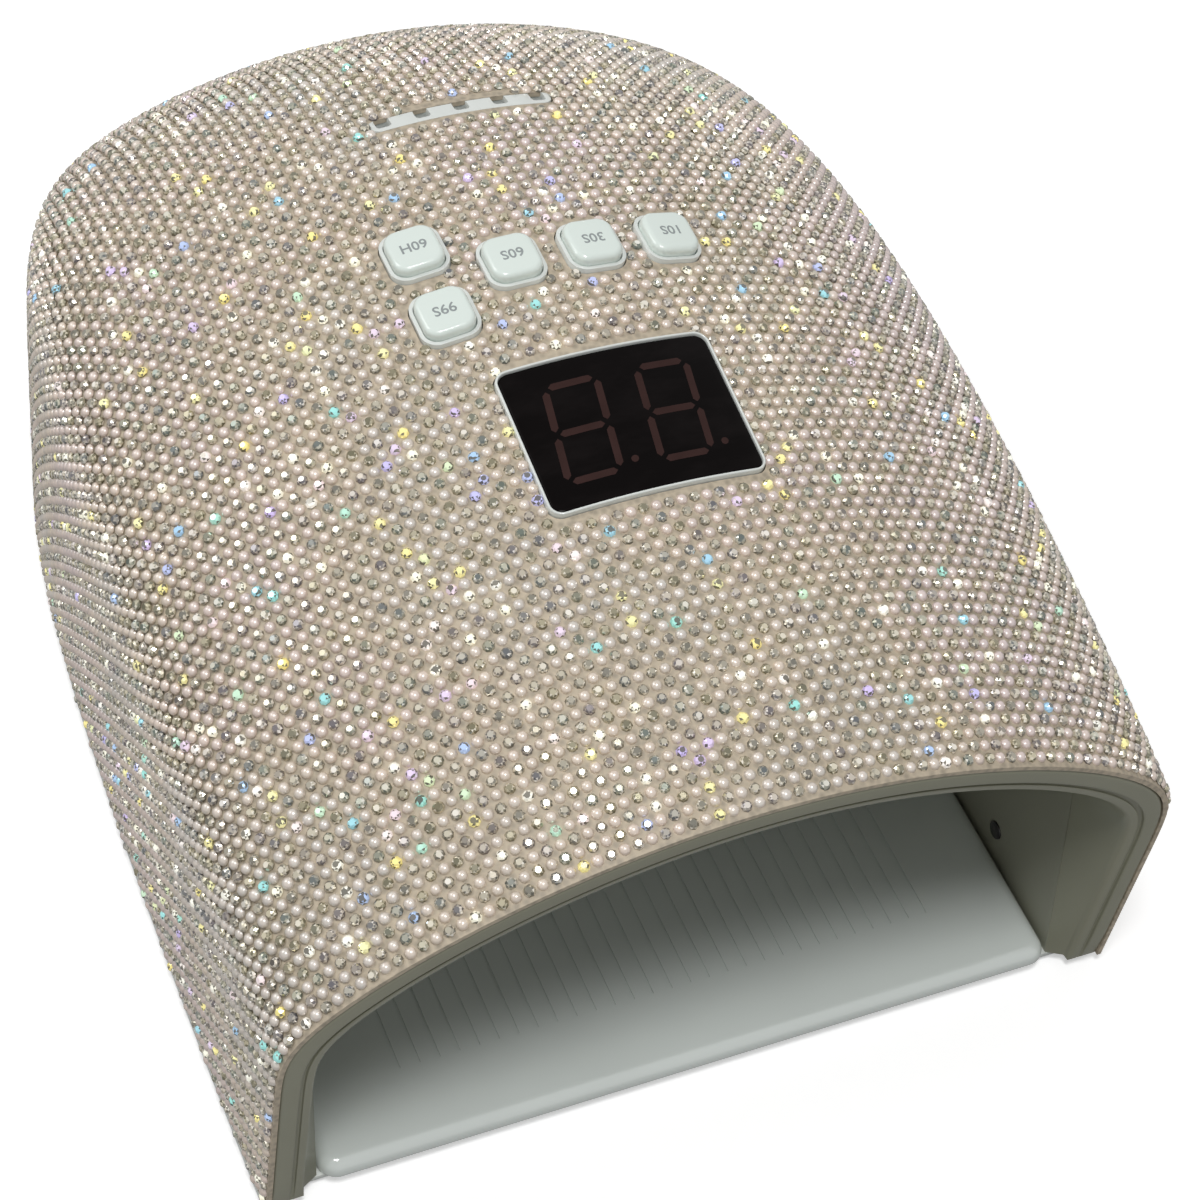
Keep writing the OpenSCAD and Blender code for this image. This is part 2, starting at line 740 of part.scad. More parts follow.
// ---- driver board and power ----
board_back = board_y + board_t;
module main_board() {
    color("darkgreen")
        difference() {
            translate([-main_w / 2, board_y, main_z - main_h / 2])
                cube([main_w, board_t, main_h]);
            for (x = [-1, 1], z = [-1, 1])
                translate([x * main_hole_x, board_y - 1, main_z + z * main_hole_z])
                    rotate([-90, 0, 0])
                        cylinder(h = board_t + 2, r = screw_r + 0.2);
        }
}
module main_board_screws() {
    color("silver")
        for (x = [-1, 1], z = [-1, 1])
            translate([x * main_hole_x, board_back, main_z + z * main_hole_z])
                rotate([90, 0, 0]) {
                    translate([0, 0, -1.6])
                        cylinder(h = 1.6, r = 2.6);
                    cylinder(h = board_t + 3.5, r = screw_r);
                }
}
module inductor() {
    color("saddlebrown")
        translate([-24, board_back, main_z + 4])
            rotate([-90, 0, 0])
                difference() {
                    cylinder(h = 7, r = 9);
                    translate([0, 0, 2])
                        cylinder(h = 6, r = 4);
                }
}
module capacitors() {
    color("midnightblue")
        for (x = [4, 17])
            translate([x, board_back, main_z + 6])
                rotate([-90, 0, 0])
                    cylinder(h = 14, r = 5);
}
cell_y = board_back + 31;
cell_gap = 0.1;
cradle_t = 1.6;
cell_z1 = skirt_z + cradle_t + cell_d / 2;
cell_z2 = cell_z1 + cell_d + cell_gap;
module battery_cells() {
    color("royalblue")
        for (side = [-1, 1], z = [cell_z1, cell_z2])
            translate([side > 0 ? 0.8 : -0.8 - cell_l, cell_y, z])
                rotate([0, 90, 0])
                    cylinder(h = cell_l, r = cell_d / 2);
}
module battery_cradle() {
    end_x = cell_l + 1.1;
    color("black")
        union() {
            translate([-end_x - cradle_t, cell_y - cell_d / 2 - 2, skirt_z])
                cube([2 * (end_x + cradle_t), cell_d + 4, cradle_t]);
            for (x = [-end_x - cradle_t, end_x])
                translate([x, cell_y - cell_d / 2 - 2, skirt_z])
                    cube([cradle_t, cell_d + 4, cell_z2 + 4 - skirt_z]);
        }
}
socket_tip = housing_l / 2 - 0.8;
socket_back = socket_tip - 17;
module charge_socket() {
    color("black")
        union() {
            difference() {
                union() {
                    translate([-5.5, socket_back, socket_z - 6])
                        cube([11, 8, 12]);
                    translate([0, socket_back + 7, socket_z])
                        rotate([-90, 0, 0])
                            cylinder(h = socket_tip - socket_back - 7, r = socket_r);
                    translate([0, socket_tip - 1.3, socket_z])
                        rotate([-90, 0, 0])
                            cylinder(h = 1.3, r = flange_r);
                }
                translate([0, socket_tip - 9.5, socket_z])
                    rotate([-90, 0, 0])
                        cylinder(h = 12, r = socket_d / 2);
            }
            translate([0, socket_tip - 10, socket_z])
                rotate([-90, 0, 0])
                    cylinder(h = 8, r = 1.05);
        }
}
module socket_board() {
    color("darkgreen")
        union() {
            translate([-8, socket_back - 3, socket_z - 6 - board_t])
                cube([16, 12, board_t]);
            for (side = [-1, 1])
                translate([side * 6.5 - 1.5, socket_back - 2, skirt_z])
                    cube([3, 10, socket_z - 6 - board_t - skirt_z + eps]);
        }
}
sensor_x = housing_w / 2 - liner_out;
module sensor_window() {
    color("black")
        translate([sensor_x - liner_t - 0.3, sensor_y, sensor_z])
            rotate([0, 90, 0])
                cylinder(h = liner_t + 0.3, r = sensor_r);
}
module sensor_board() {
    color("darkgreen")
        translate([sensor_x, sensor_y - 6, sensor_z - 7])
            cube([1.2, 12, 14]);
}

// ---- leads ----
ribbon_w = 10;
ribbon_t = 0.8;
ribbon_z = roof_z(0, key_row) + key_board_top - board_t - 3.4;
ribbon_y = key_row + 12;
module ribbon_cable() {
    plug_y = 6;
    color("gray")
        union() {
            translate([16, ribbon_y - plug_y, ribbon_z])
                cube([ribbon_w + 4, plug_y, 2.6]);
            translate([18, ribbon_y - eps, ribbon_z + 0.6])
                cube([ribbon_w, board_back + 3 - ribbon_y, ribbon_t]);
            translate([18, board_back + 3 - ribbon_t, main_z + main_h / 2 - 8])
                cube([ribbon_w, ribbon_t, ribbon_z + 1 - main_z - main_h / 2 + 8]);
            translate([16, board_back, main_z + main_h / 2 - 12])
                cube([ribbon_w + 4, 3.6, 5]);
        }
}
lead_x = -30;
module led_lead() {
    lead_z = arch_z(0, angle_at_x(abs(lead_x) - 3, liner_out - strip_t), liner_out - strip_t) + 0.1;
    y1 = led_rows[0] - 5;
    color("red")
        union() {
            translate([lead_x - 3, y1, lead_z])
                cube([6, board_back + 1 - y1, 1]);
            translate([lead_x - 3, board_back, main_z + main_h / 2 - 6])
                cube([6, 1, lead_z + 1 - main_z - main_h / 2 + 6]);
        }
}

outer_shell();
crystal_sheet();
front_rim();
inner_liner();
base_frame();
base_tray();
tray_magnets();
frame_magnets();
rubber_feet();
base_screws();
display_bezel();
display_window();
display_module();
display_board();
key_carrier();
key_60h();
key_60s();
key_30s();
key_10s();
key_99s();
key_switches();
key_board();
key_board_screws();
vent_strip();
led_strip_front();
led_strip_middle();
led_strip_rear();
led_beads_front();
led_beads_middle();
led_beads_rear();
rear_led_board();
rear_led_beads();
main_board();
main_board_screws();
inductor();
capacitors();
battery_cells();
battery_cradle();
charge_socket();
socket_board();
sensor_window();
sensor_board();
ribbon_cable();
led_lead();
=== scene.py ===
"""Looks of a crystal-covered gel nail curing lamp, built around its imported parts."""

import json
import math

import bmesh
import bpy
import numpy as np
from mathutils import Matrix, Vector


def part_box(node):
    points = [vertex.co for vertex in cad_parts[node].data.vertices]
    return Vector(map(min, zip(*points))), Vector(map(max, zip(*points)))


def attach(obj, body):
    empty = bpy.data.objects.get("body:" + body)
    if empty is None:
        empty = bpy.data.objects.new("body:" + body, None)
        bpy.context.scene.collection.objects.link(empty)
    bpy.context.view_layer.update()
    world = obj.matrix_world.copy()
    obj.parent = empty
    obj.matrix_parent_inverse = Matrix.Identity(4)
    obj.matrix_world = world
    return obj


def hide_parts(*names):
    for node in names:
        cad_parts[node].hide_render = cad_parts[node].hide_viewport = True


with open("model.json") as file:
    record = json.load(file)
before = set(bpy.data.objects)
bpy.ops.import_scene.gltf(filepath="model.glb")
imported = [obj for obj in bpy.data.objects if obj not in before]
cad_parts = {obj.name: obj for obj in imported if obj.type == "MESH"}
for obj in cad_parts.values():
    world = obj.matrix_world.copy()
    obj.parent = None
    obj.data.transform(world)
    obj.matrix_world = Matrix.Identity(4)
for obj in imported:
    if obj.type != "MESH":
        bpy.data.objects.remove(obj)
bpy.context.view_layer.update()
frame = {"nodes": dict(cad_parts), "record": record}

bl_info = {
    "name": "Gel nail curing lamp",
    "version": (1, 0, 0),
    "blender": (4, 5, 0),
    "location": "3D View > Sidebar > Nail Lamp",
    "description": "Builds the looks of a crystal-covered nail lamp around its packed parts",
    "category": "Object",
}

MM = 0.001
HOUSING = "housing"
KEY_NODES = ("key_60h", "key_60s", "key_30s", "key_10s", "key_99s")
KEY_LEGENDS = ("60H", "60S", "30S", "10S", "99S")
RIM_PLATE = 3 * MM
FUNNEL_FOOT = 1.5 * MM
WINDOW_CORNER = 3 * MM
KEY_CORNER = 3.8 * MM
VENT_CORNER = 1.6 * MM
SOCKET_R = 6.6 * MM
SOCKET_UP = 12 * MM
ARCH_STEP = 1.2 * MM


# ---------------------------------------------------------------- properties
def length(name, description, default):
    return bpy.props.FloatProperty(name=name, description=description, default=default, min=0.0,
                                   unit="LENGTH", precision=5)


def colour(name, description, default):
    return bpy.props.FloatVectorProperty(name=name, description=description, default=default,
                                         size=3, min=0.0, max=1.0, subtype="COLOR")


class HousingSizes(bpy.types.PropertyGroup):
    """Sizes of the domed housing and of what is let into its roof."""
    width: length("Width", "Width of the opening over the stones", 0.200)
    length: length("Length", "Length from the opening to the rear", 0.245)
    skirt: length("Skirt height", "Height of the housing's lower edge above the table", 0.003)
    front_height: length("Front height", "Height of the front arch", 0.101)
    roof_rise: length("Roof rise", "Rise of the roof towards the middle", 0.086)
    roof_fall: length("Roof fall", "Fall of the roof towards the rear", 0.037)
    taper: length("Taper", "Narrowing towards the rear", 0.0036)
    bulge: length("Bulge", "Bulge of the sides", 0.010)
    crown: bpy.props.FloatProperty(name="Crown", description="Fall of the roof towards its sides",
                                   default=0.33)
    crown_fade: bpy.props.FloatProperty(name="Crown fade", description="Loss of crown by the rear",
                                        default=0.12)
    shoulder: bpy.props.FloatProperty(name="Shoulder", description="Squareness of the plan power",
                                      default=7.3)
    steepness: bpy.props.FloatProperty(name="Steepness", description="Squareness of the side walls",
                                       default=16.0)
    sheet: length("Sheet depth", "Depth of the backing sheet and stones together", 0.0022)
    shell_in: length("Shell depth", "Depth of the inner face of the shell", 0.0042)
    cavity_in: length("Cavity depth", "Depth of the liner's inner face", 0.0134)
    liner: length("Liner", "Thickness of the liner", 0.0018)
    mouth: length("Mouth", "Depth of the rim's funnel under the roof", 0.026)
    cavity: length("Cavity length", "Distance from the front to the rear wall of the cavity", 0.168)
    window_y: length("Window place", "Distance of the window's middle from the front", 0.083)
    window_w: length("Window width", "Width of the display window", 0.045)
    window_l: length("Window length", "Length of the display window", 0.033)
    border: length("Border", "Width of the border round the window", 0.0010)
    key_y: length("Key row place", "Distance of the key row from the front", 0.127)
    key_pitch: length("Key pitch", "Distance between the keys of the row", 0.0178)
    key_stack: length("Key stack", "Offset of the two stacked keys from the row", 0.009)
    key_w: length("Key width", "Width of a key", 0.011)
    key_l: length("Key length", "Length of a key", 0.0114)
    key_up: length("Key height", "Height of a key over the stones", 0.002)
    collar: length("Collar", "Gap and collar round a key", 0.0010)
    vent_y: length("Vent place", "Distance of the vent from the front", 0.179)
    vent_w: length("Vent width", "Width of the vent strip", 0.042)
    vent_l: length("Vent length", "Length of the vent strip", 0.006)
    vent_cover: length("Vent cover", "Length of the vent strip that the sheet laps over", 0.0018)


class StoneSizes(bpy.types.PropertyGroup):
    """Sizes and spread of the stones."""
    pitch: length("Pitch", "Distance between neighbouring stones", 0.00276)
    pearl: length("Pearl width", "Diameter of a half pearl", 0.0025)
    crystal: length("Crystal width", "Diameter of a crystal", 0.00245)
    height: length("Height", "Height of a stone over the sheet", 0.00105)
    spread: bpy.props.FloatProperty(name="Size spread", description="Spread of stone sizes",
                                    default=0.05)
    tilt: bpy.props.FloatProperty(name="Tilt", description="Random tilt of a stone", default=0.07,
                                  subtype="ANGLE")
    seed: bpy.props.IntProperty(name="Seed", description="Seed of all random draws", default=7)


class LampColours(bpy.types.PropertyGroup):
    """Base colours of the finishes."""
    shell: colour("Shell", "White plastic of the shell", (0.72, 0.75, 0.72))
    # painted shade: the rim's colour is darkened to the shade that falls on its front face
    rim: colour("Rim", "Plastic of the front rim", (0.26, 0.26, 0.19))
    # painted shade: the reflector's colour is darkened to the shade inside the cavity
    liner: colour("Liner", "Reflector of the cavity", (0.30, 0.30, 0.235))
    tray: colour("Tray", "Glossy floor tray", (0.72, 0.77, 0.74))
    key: colour("Key", "Key caps", (0.74, 0.82, 0.77))
    legend: colour("Legend", "Print on the keys", (0.28, 0.31, 0.31))
    window: colour("Window", "Tinted display window", (0.003, 0.002, 0.002))
    segment: colour("Segment", "Unlit display segment", (0.040, 0.020, 0.018))
    sheet: colour("Sheet", "Backing sheet of the stones", (0.49, 0.42, 0.32))
    pearl: colour("Pearl", "Half pearls", (0.66, 0.53, 0.45))
    crystal: colour("Crystal", "Crystals between sparkles", (0.54, 0.49, 0.38))


# ---------------------------------------------------------------- node trees
class Socket:
    """A node's output that takes Python's operators."""

    def __init__(self, sheet, socket):
        self.sheet = sheet
        self.socket = socket

    def __add__(self, other):
        return self.sheet.math("ADD", self, other)

    __radd__ = __add__

    def __sub__(self, other):
        return self.sheet.math("SUBTRACT", self, other)

    def __rsub__(self, other):
        return self.sheet.math("SUBTRACT", other, self)

    def __mul__(self, other):
        return self.sheet.math("MULTIPLY", self, other)

    __rmul__ = __mul__

    def __gt__(self, other):
        return self.sheet.math("GREATER_THAN", self, other)


class NodeSheet:
    """A node tree that is written as calls."""

    def __init__(self, tree):
        self.tree = tree
        tree.nodes.clear()

    def node(self, kind, settings=None, inputs=None, output=None):
        made = self.tree.nodes.new(kind)
        for name, value in (settings or {}).items():
            if name == "stops":
                self.set_stops(made.color_ramp, value)
            else:
                setattr(made, name, value)
        for name, value in (inputs or {}).items():
            self.put(self.find(made.inputs, name), value)
        if not made.outputs:
            return made
        return Socket(self, self.find(made.outputs, output))

    @staticmethod
    def find(sockets, name):
        if isinstance(name, int):
            return sockets[name]
        usable = [s for s in sockets if s.enabled and name in (None, s.name)]
        return usable[0]

    def put(self, target, value):
        if isinstance(value, Socket):
            self.tree.links.new(value.socket, target)
            return
        held = target.default_value
        lacks_alpha = hasattr(held, "__len__") and len(held) == 4 and len(value) == 3
        target.default_value = (*value, 1.0) if lacks_alpha else value

    @staticmethod
    def set_stops(ramp, stops):
        while len(ramp.elements) < len(stops):
            ramp.elements.new(0.5)
        for element, (place, shade) in zip(ramp.elements, stops):
            element.position = place
            element.color = (*shade, 1.0) if hasattr(shade, "__len__") else (shade,) * 3 + (1.0,)

    def math(self, operation, a, b):
        return self.node("ShaderNodeMath", {"operation": operation}, {0: a, 1: b})


class Finish(NodeSheet):
    """A procedural material."""

    def __init__(self, name):
        self.material = bpy.data.materials.new(name)
        self.material.use_nodes = True
        super().__init__(self.material.node_tree)
        self.here = self.node("ShaderNodeTexCoord", output="Object")

    def noise(self, scale, detail=2.0, rough=0.5, at=None):
        given = {"Vector": at or self.here, "Scale": scale, "Detail": detail, "Roughness": rough}
        return self.node("ShaderNodeTexNoise", None, given, "Fac")

    def stretched(self, x, y, z):
        return self.node("ShaderNodeMapping", None, {"Vector": self.here, "Scale": (x, y, z)})

    def ramp(self, factor, stops):
        return self.node("ShaderNodeValToRGB", {"stops": stops}, {"Fac": factor}, "Color")

    def mix(self, factor, a, b):
        return self.node("ShaderNodeMix", {"data_type": "RGBA"}, {0: factor, 6: a, 7: b}, 2)

    def attribute(self, name):
        return self.node("ShaderNodeAttribute", {"attribute_name": name}, None, "Fac")

    def bump(self, height, strength, distance):
        return self.node("ShaderNodeBump", None,
                         {"Strength": strength, "Distance": distance, "Height": height})

    def surface(self, **sockets):
        names = {key.replace("_", " "): value for key, value in sockets.items()}
        shader = self.node("ShaderNodeBsdfPrincipled", None, names)
        self.node("ShaderNodeOutputMaterial", None, {"Surface": shader})
        return self.material


def tone(shade, gain):
    return tuple(min(1.0, c * gain) for c in shade)


def moulded(name, shade, roughness=0.3, grain=0.15, coat=0.0, dust=0.06):
    """Moulded plastic: faint clouding in the colour, a fine orange peel and duller patches."""
    sheet = Finish(name)
    cloud = sheet.noise(28.0, 3.0)
    fine = sheet.noise(900.0, 2.0)
    wear = sheet.noise(120.0, 4.0, 0.6)
    base = sheet.mix(sheet.ramp(cloud, [(0.3, 0.0), (0.7, 1.0)]), tone(shade, 1.0 - dust),
                     tone(shade, 1.0 + dust / 2))
    return sheet.surface(Base_Color=base, Roughness=roughness + (wear - 0.5) * 0.16,
                         Coat_Weight=coat, Coat_Roughness=0.06,
                         Normal=sheet.bump(fine, grain, 0.00004))


def metal(name, shade, roughness=0.28):
    """Plated or brushed metal with fine streaks."""
    sheet = Finish(name)
    streak = sheet.noise(60.0, 4.0, 0.6, sheet.stretched(1.0, 14.0, 14.0))
    base = sheet.mix(streak, tone(shade, 0.86), tone(shade, 1.06))
    return sheet.surface(Base_Color=base, Metallic=1.0, Roughness=roughness + (streak - 0.5) * 0.2,
                         Normal=sheet.bump(streak, 0.12, 0.00003))


def circuit(name, shade, track):
    """A circuit board: solder mask over tracks, with a few bright pads."""
    sheet = Finish(name)
    cells = sheet.node("ShaderNodeTexVoronoi",
                       {"feature": "DISTANCE_TO_EDGE", "distance": "MANHATTAN"},
                       {"Vector": sheet.here, "Scale": 210.0}, "Distance")
    tracks = sheet.ramp(cells, [(0.05, 1.0), (0.08, 0.0)])
    pads = sheet.node("ShaderNodeTexVoronoi", None, {"Vector": sheet.here, "Scale": 330.0},
                      "Distance")
    pad = sheet.ramp(pads, [(0.12, 1.0), (0.15, 0.0)])
    base = sheet.mix(pad, sheet.mix(tracks, shade, track), (0.62, 0.60, 0.52))
    return sheet.surface(Base_Color=base, Roughness=0.42 - pad * 0.15,
                         Normal=sheet.bump(tracks, 0.3, 0.00005))


def striped(name, dark, light, lines, axis):
    """A ribbon or lead: cores side by side."""
    sheet = Finish(name)
    wave = sheet.node("ShaderNodeTexWave", {"bands_direction": axis},
                      {"Vector": sheet.here, "Scale": lines, "Distortion": 0.0}, "Fac")
    return sheet.surface(Base_Color=sheet.mix(wave, dark, light), Roughness=0.45,
                         Normal=sheet.bump(wave, 0.5, 0.0002))


def sleeved(name, shade, band):
    """A shrink sleeve with a printed band and faint creases."""
    sheet = Finish(name)
    crease = sheet.noise(70.0, 3.0, 0.6, sheet.stretched(0.3, 3.0, 3.0))
    wave = sheet.node("ShaderNodeTexWave", {"bands_direction": "X"},
                      {"Vector": sheet.here, "Scale": 4.8}, "Fac")
    mask = sheet.ramp(wave, [(0.82, 0.0), (0.84, 1.0)])
    return sheet.surface(Base_Color=sheet.mix(mask, shade, band), Roughness=0.3 + crease * 0.1,
                         Normal=sheet.bump(crease, 0.4, 0.0003))


def pearl_finish(shade):
    """Half pearls: a lacquered pinkish white with a little variation from stone to stone and
    patches of painted iridescent sheen.
    """
    sheet = Finish("half_pearl_lacquer_painted_sheen")
    stone = sheet.attribute("stone_tone")
    warm = sheet.ramp(stone, [(0.0, tone(shade, 0.86)), (0.5, shade), (1.0, tone(shade, 1.1))])
    swirl = sheet.noise(1500.0, 2.0)
    # painted sheen: lilac, yellow and teal patches across the housing stand in for the pearls'
    # iridescent reflections
    drift = sheet.noise(16.0, 2.0)
    painted_sheen = sheet.ramp(drift, [(0.36, (0.62, 0.50, 0.60)), (0.48, shade),
                                 (0.54, (0.66, 0.57, 0.38)), (0.64, (0.50, 0.58, 0.54))])
    base = sheet.mix(swirl * 0.6, warm, painted_sheen)
    return sheet.surface(Base_Color=base, Roughness=0.30 + stone * 0.08, Coat_Weight=1.0,
                         Coat_Roughness=0.26, Coat_IOR=2.3,
                         Normal=sheet.bump(swirl, 0.05, 0.00002))


def crystal_finish(shade):
    """Cut crystals with a rainbow coating: each facet has a painted reflection from dark to near
    white, and a few stones carry painted glints that glow.
    """
    sheet = Finish("coated_crystal_painted_glints")
    stone = sheet.attribute("stone_tone")
    facet = sheet.attribute("facet_tone")
    # painted reflections: a random draw per facet picks a shade from dark to near white, standing
    # in for what the facets reflect
    depth = sheet.ramp(facet, [(0.0, tone(shade, 0.16)), (0.30, tone(shade, 0.36)),
                               (0.5, tone(shade, 0.74)), (0.75, tone(shade, 1.1)),
                               (1.0, (0.93, 0.88, 0.80))])
    rainbow = sheet.ramp(stone, [(0.0, (0.90, 0.78, 0.28)), (0.20, (0.86, 0.84, 0.46)),
                                 (0.30, (0.32, 0.72, 0.66)), (0.38, (0.36, 0.58, 0.82)),
                                 (0.46, (0.58, 0.48, 0.82)), (0.55, (0.84, 0.70, 0.72)),
                                 (0.66, (0.94, 0.93, 0.84)), (1.0, (0.96, 0.94, 0.76))])
    tinted = sheet.mix(0.10, depth, rainbow)
    # painted glints: on a few stones the brighter facets take the coating's colour
    painted_glint_stone = sheet.attribute("flash") > 0.87
    flash = painted_glint_stone * (facet > 0.30)
    base = sheet.mix(flash, tinted, rainbow)
    # the painted glints glow through the emission
    glow = sheet.mix(flash, (0.0, 0.0, 0.0), rainbow)
    return sheet.surface(Base_Color=base, Metallic=0.45, Roughness=0.14, Coat_Weight=0.6,
                         Coat_Roughness=0.03, Emission_Color=glow, Emission_Strength=0.30)


def backing_finish(shade):
    """The glued sheet: a mesh-like weave of tan glue lines with darker pits."""
    sheet = Finish("stone_backing_sheet")
    weave = sheet.node("ShaderNodeTexVoronoi", None, {"Vector": sheet.here, "Scale": 700.0},
                       "Distance")
    cloud = sheet.noise(40.0, 3.0)
    base = sheet.mix(sheet.ramp(weave, [(0.2, 0.0), (0.7, 1.0)]), tone(shade, 0.7),
                     tone(shade, 1.12))
    return sheet.surface(Base_Color=sheet.mix(cloud * 0.4, base, tone(shade, 0.8)),
                         Roughness=0.5 + weave * 0.2, Normal=sheet.bump(weave, 0.35, 0.0001))


def window_finish(shade):
    """Polished tinted lens with faint smears."""
    sheet = Finish("tinted_window")
    smear = sheet.noise(45.0, 4.0, 0.65, sheet.stretched(1.0, 2.5, 1.0))
    base = sheet.mix(sheet.ramp(smear, [(0.45, 0.0), (0.75, 1.0)]), shade, (0.008, 0.006, 0.006))
    return sheet.surface(Base_Color=base, Roughness=0.05 + smear * 0.06, Specular_IOR_Level=0.04)


def segment_finish(shade):
    """An unlit segment, seen through the tint."""
    sheet = Finish("display_segment")
    cloud = sheet.noise(220.0, 3.0)
    base = sheet.mix(cloud, tone(shade, 0.7), tone(shade, 1.2))
    return sheet.surface(Base_Color=base, Roughness=0.3 + cloud * 0.1, Specular_IOR_Level=0.05)


def lens_finish():
    """A silicone dome over yellow phosphor."""
    sheet = Finish("lamp_lens")
    swirl = sheet.noise(260.0, 3.0)
    base = sheet.mix(swirl, (0.86, 0.80, 0.42), (0.92, 0.89, 0.70))
    return sheet.surface(Base_Color=base, Roughness=0.12 + swirl * 0.08, Coat_Weight=0.7)


def rubber_finish():
    """Matt rubber with a fine grain."""
    sheet = Finish("foot_rubber")
    grain = sheet.noise(1400.0, 3.0)
    base = sheet.mix(sheet.noise(60.0, 3.0), (0.022, 0.022, 0.022), (0.06, 0.058, 0.055))
    return sheet.surface(Base_Color=base, Roughness=0.72 + grain * 0.15,
                         Normal=sheet.bump(grain, 0.4, 0.0001))


FINISHES = {}


def make_finishes(colours):
    FINISHES.update({
        "white_shell": moulded("shell_plastic", colours.shell, 0.24, coat=0.3),
        # the rim's finish carries painted shade in its colour
        "rim_grey": moulded("rim_plastic_painted_shade", colours.rim, 0.34, 0.2),
        # the reflector's finish carries painted shade in its colour
        "liner_white": moulded("reflector_painted_shade", colours.liner, 0.34, 0.02, dust=0.02),
        "tray_white": moulded("tray_plastic", colours.tray, 0.12, 0.06, 0.6, 0.03),
        "frame_white": moulded("frame_plastic", colours.shell, 0.3),
        "key_mint": moulded("key_plastic", colours.key, 0.22, 0.08, 0.4, 0.02),
        "legend": moulded("legend_print", colours.legend, 0.5, 0.05),
        "crystal": backing_finish(colours.sheet),
        "pearl": pearl_finish(colours.pearl),
        "cut_crystal": crystal_finish(colours.crystal),
        "window_black": window_finish(colours.window),
        "segment": segment_finish(colours.segment),
        "led_lens": lens_finish(),
        "foot_rubber": rubber_finish(),
        "magnet": metal("nickel_plate", (0.70, 0.70, 0.72), 0.18),
        "steel": metal("zinc_plate", (0.60, 0.60, 0.62), 0.3),
        "capacitor": sleeved("capacitor_sleeve", (0.02, 0.03, 0.09), (0.55, 0.56, 0.60)),
        "cell_wrap": sleeved("cell_sleeve", (0.03, 0.12, 0.42), (0.60, 0.62, 0.66)),
        "board_green": circuit("green_board", (0.012, 0.12, 0.045), (0.03, 0.22, 0.08)),
        "board_white": circuit("white_board", (0.74, 0.74, 0.70), (0.60, 0.58, 0.50)),
        "ribbon_grey": striped("ribbon", (0.25, 0.25, 0.27), (0.50, 0.50, 0.52), 120.0, "X"),
        "lead_red": striped("lead", (0.05, 0.04, 0.04), (0.52, 0.04, 0.03), 50.0, "X"),
        "module_black": moulded("module_block", (0.03, 0.03, 0.03), 0.5),
        "switch_black": moulded("switch_block", (0.02, 0.02, 0.02), 0.45),
        "cradle_black": moulded("cradle_plastic", (0.03, 0.03, 0.03), 0.5, 0.4),
        "socket_black": moulded("socket_plastic", (0.012, 0.012, 0.012), 0.4, 0.3),
        "sensor_dark": moulded("sensor_filter", (0.010, 0.006, 0.010), 0.08, 0.02, 0.6),
        "ferrite": moulded("wound_ferrite", (0.16, 0.07, 0.03), 0.45, 0.6, dust=0.4),
    })


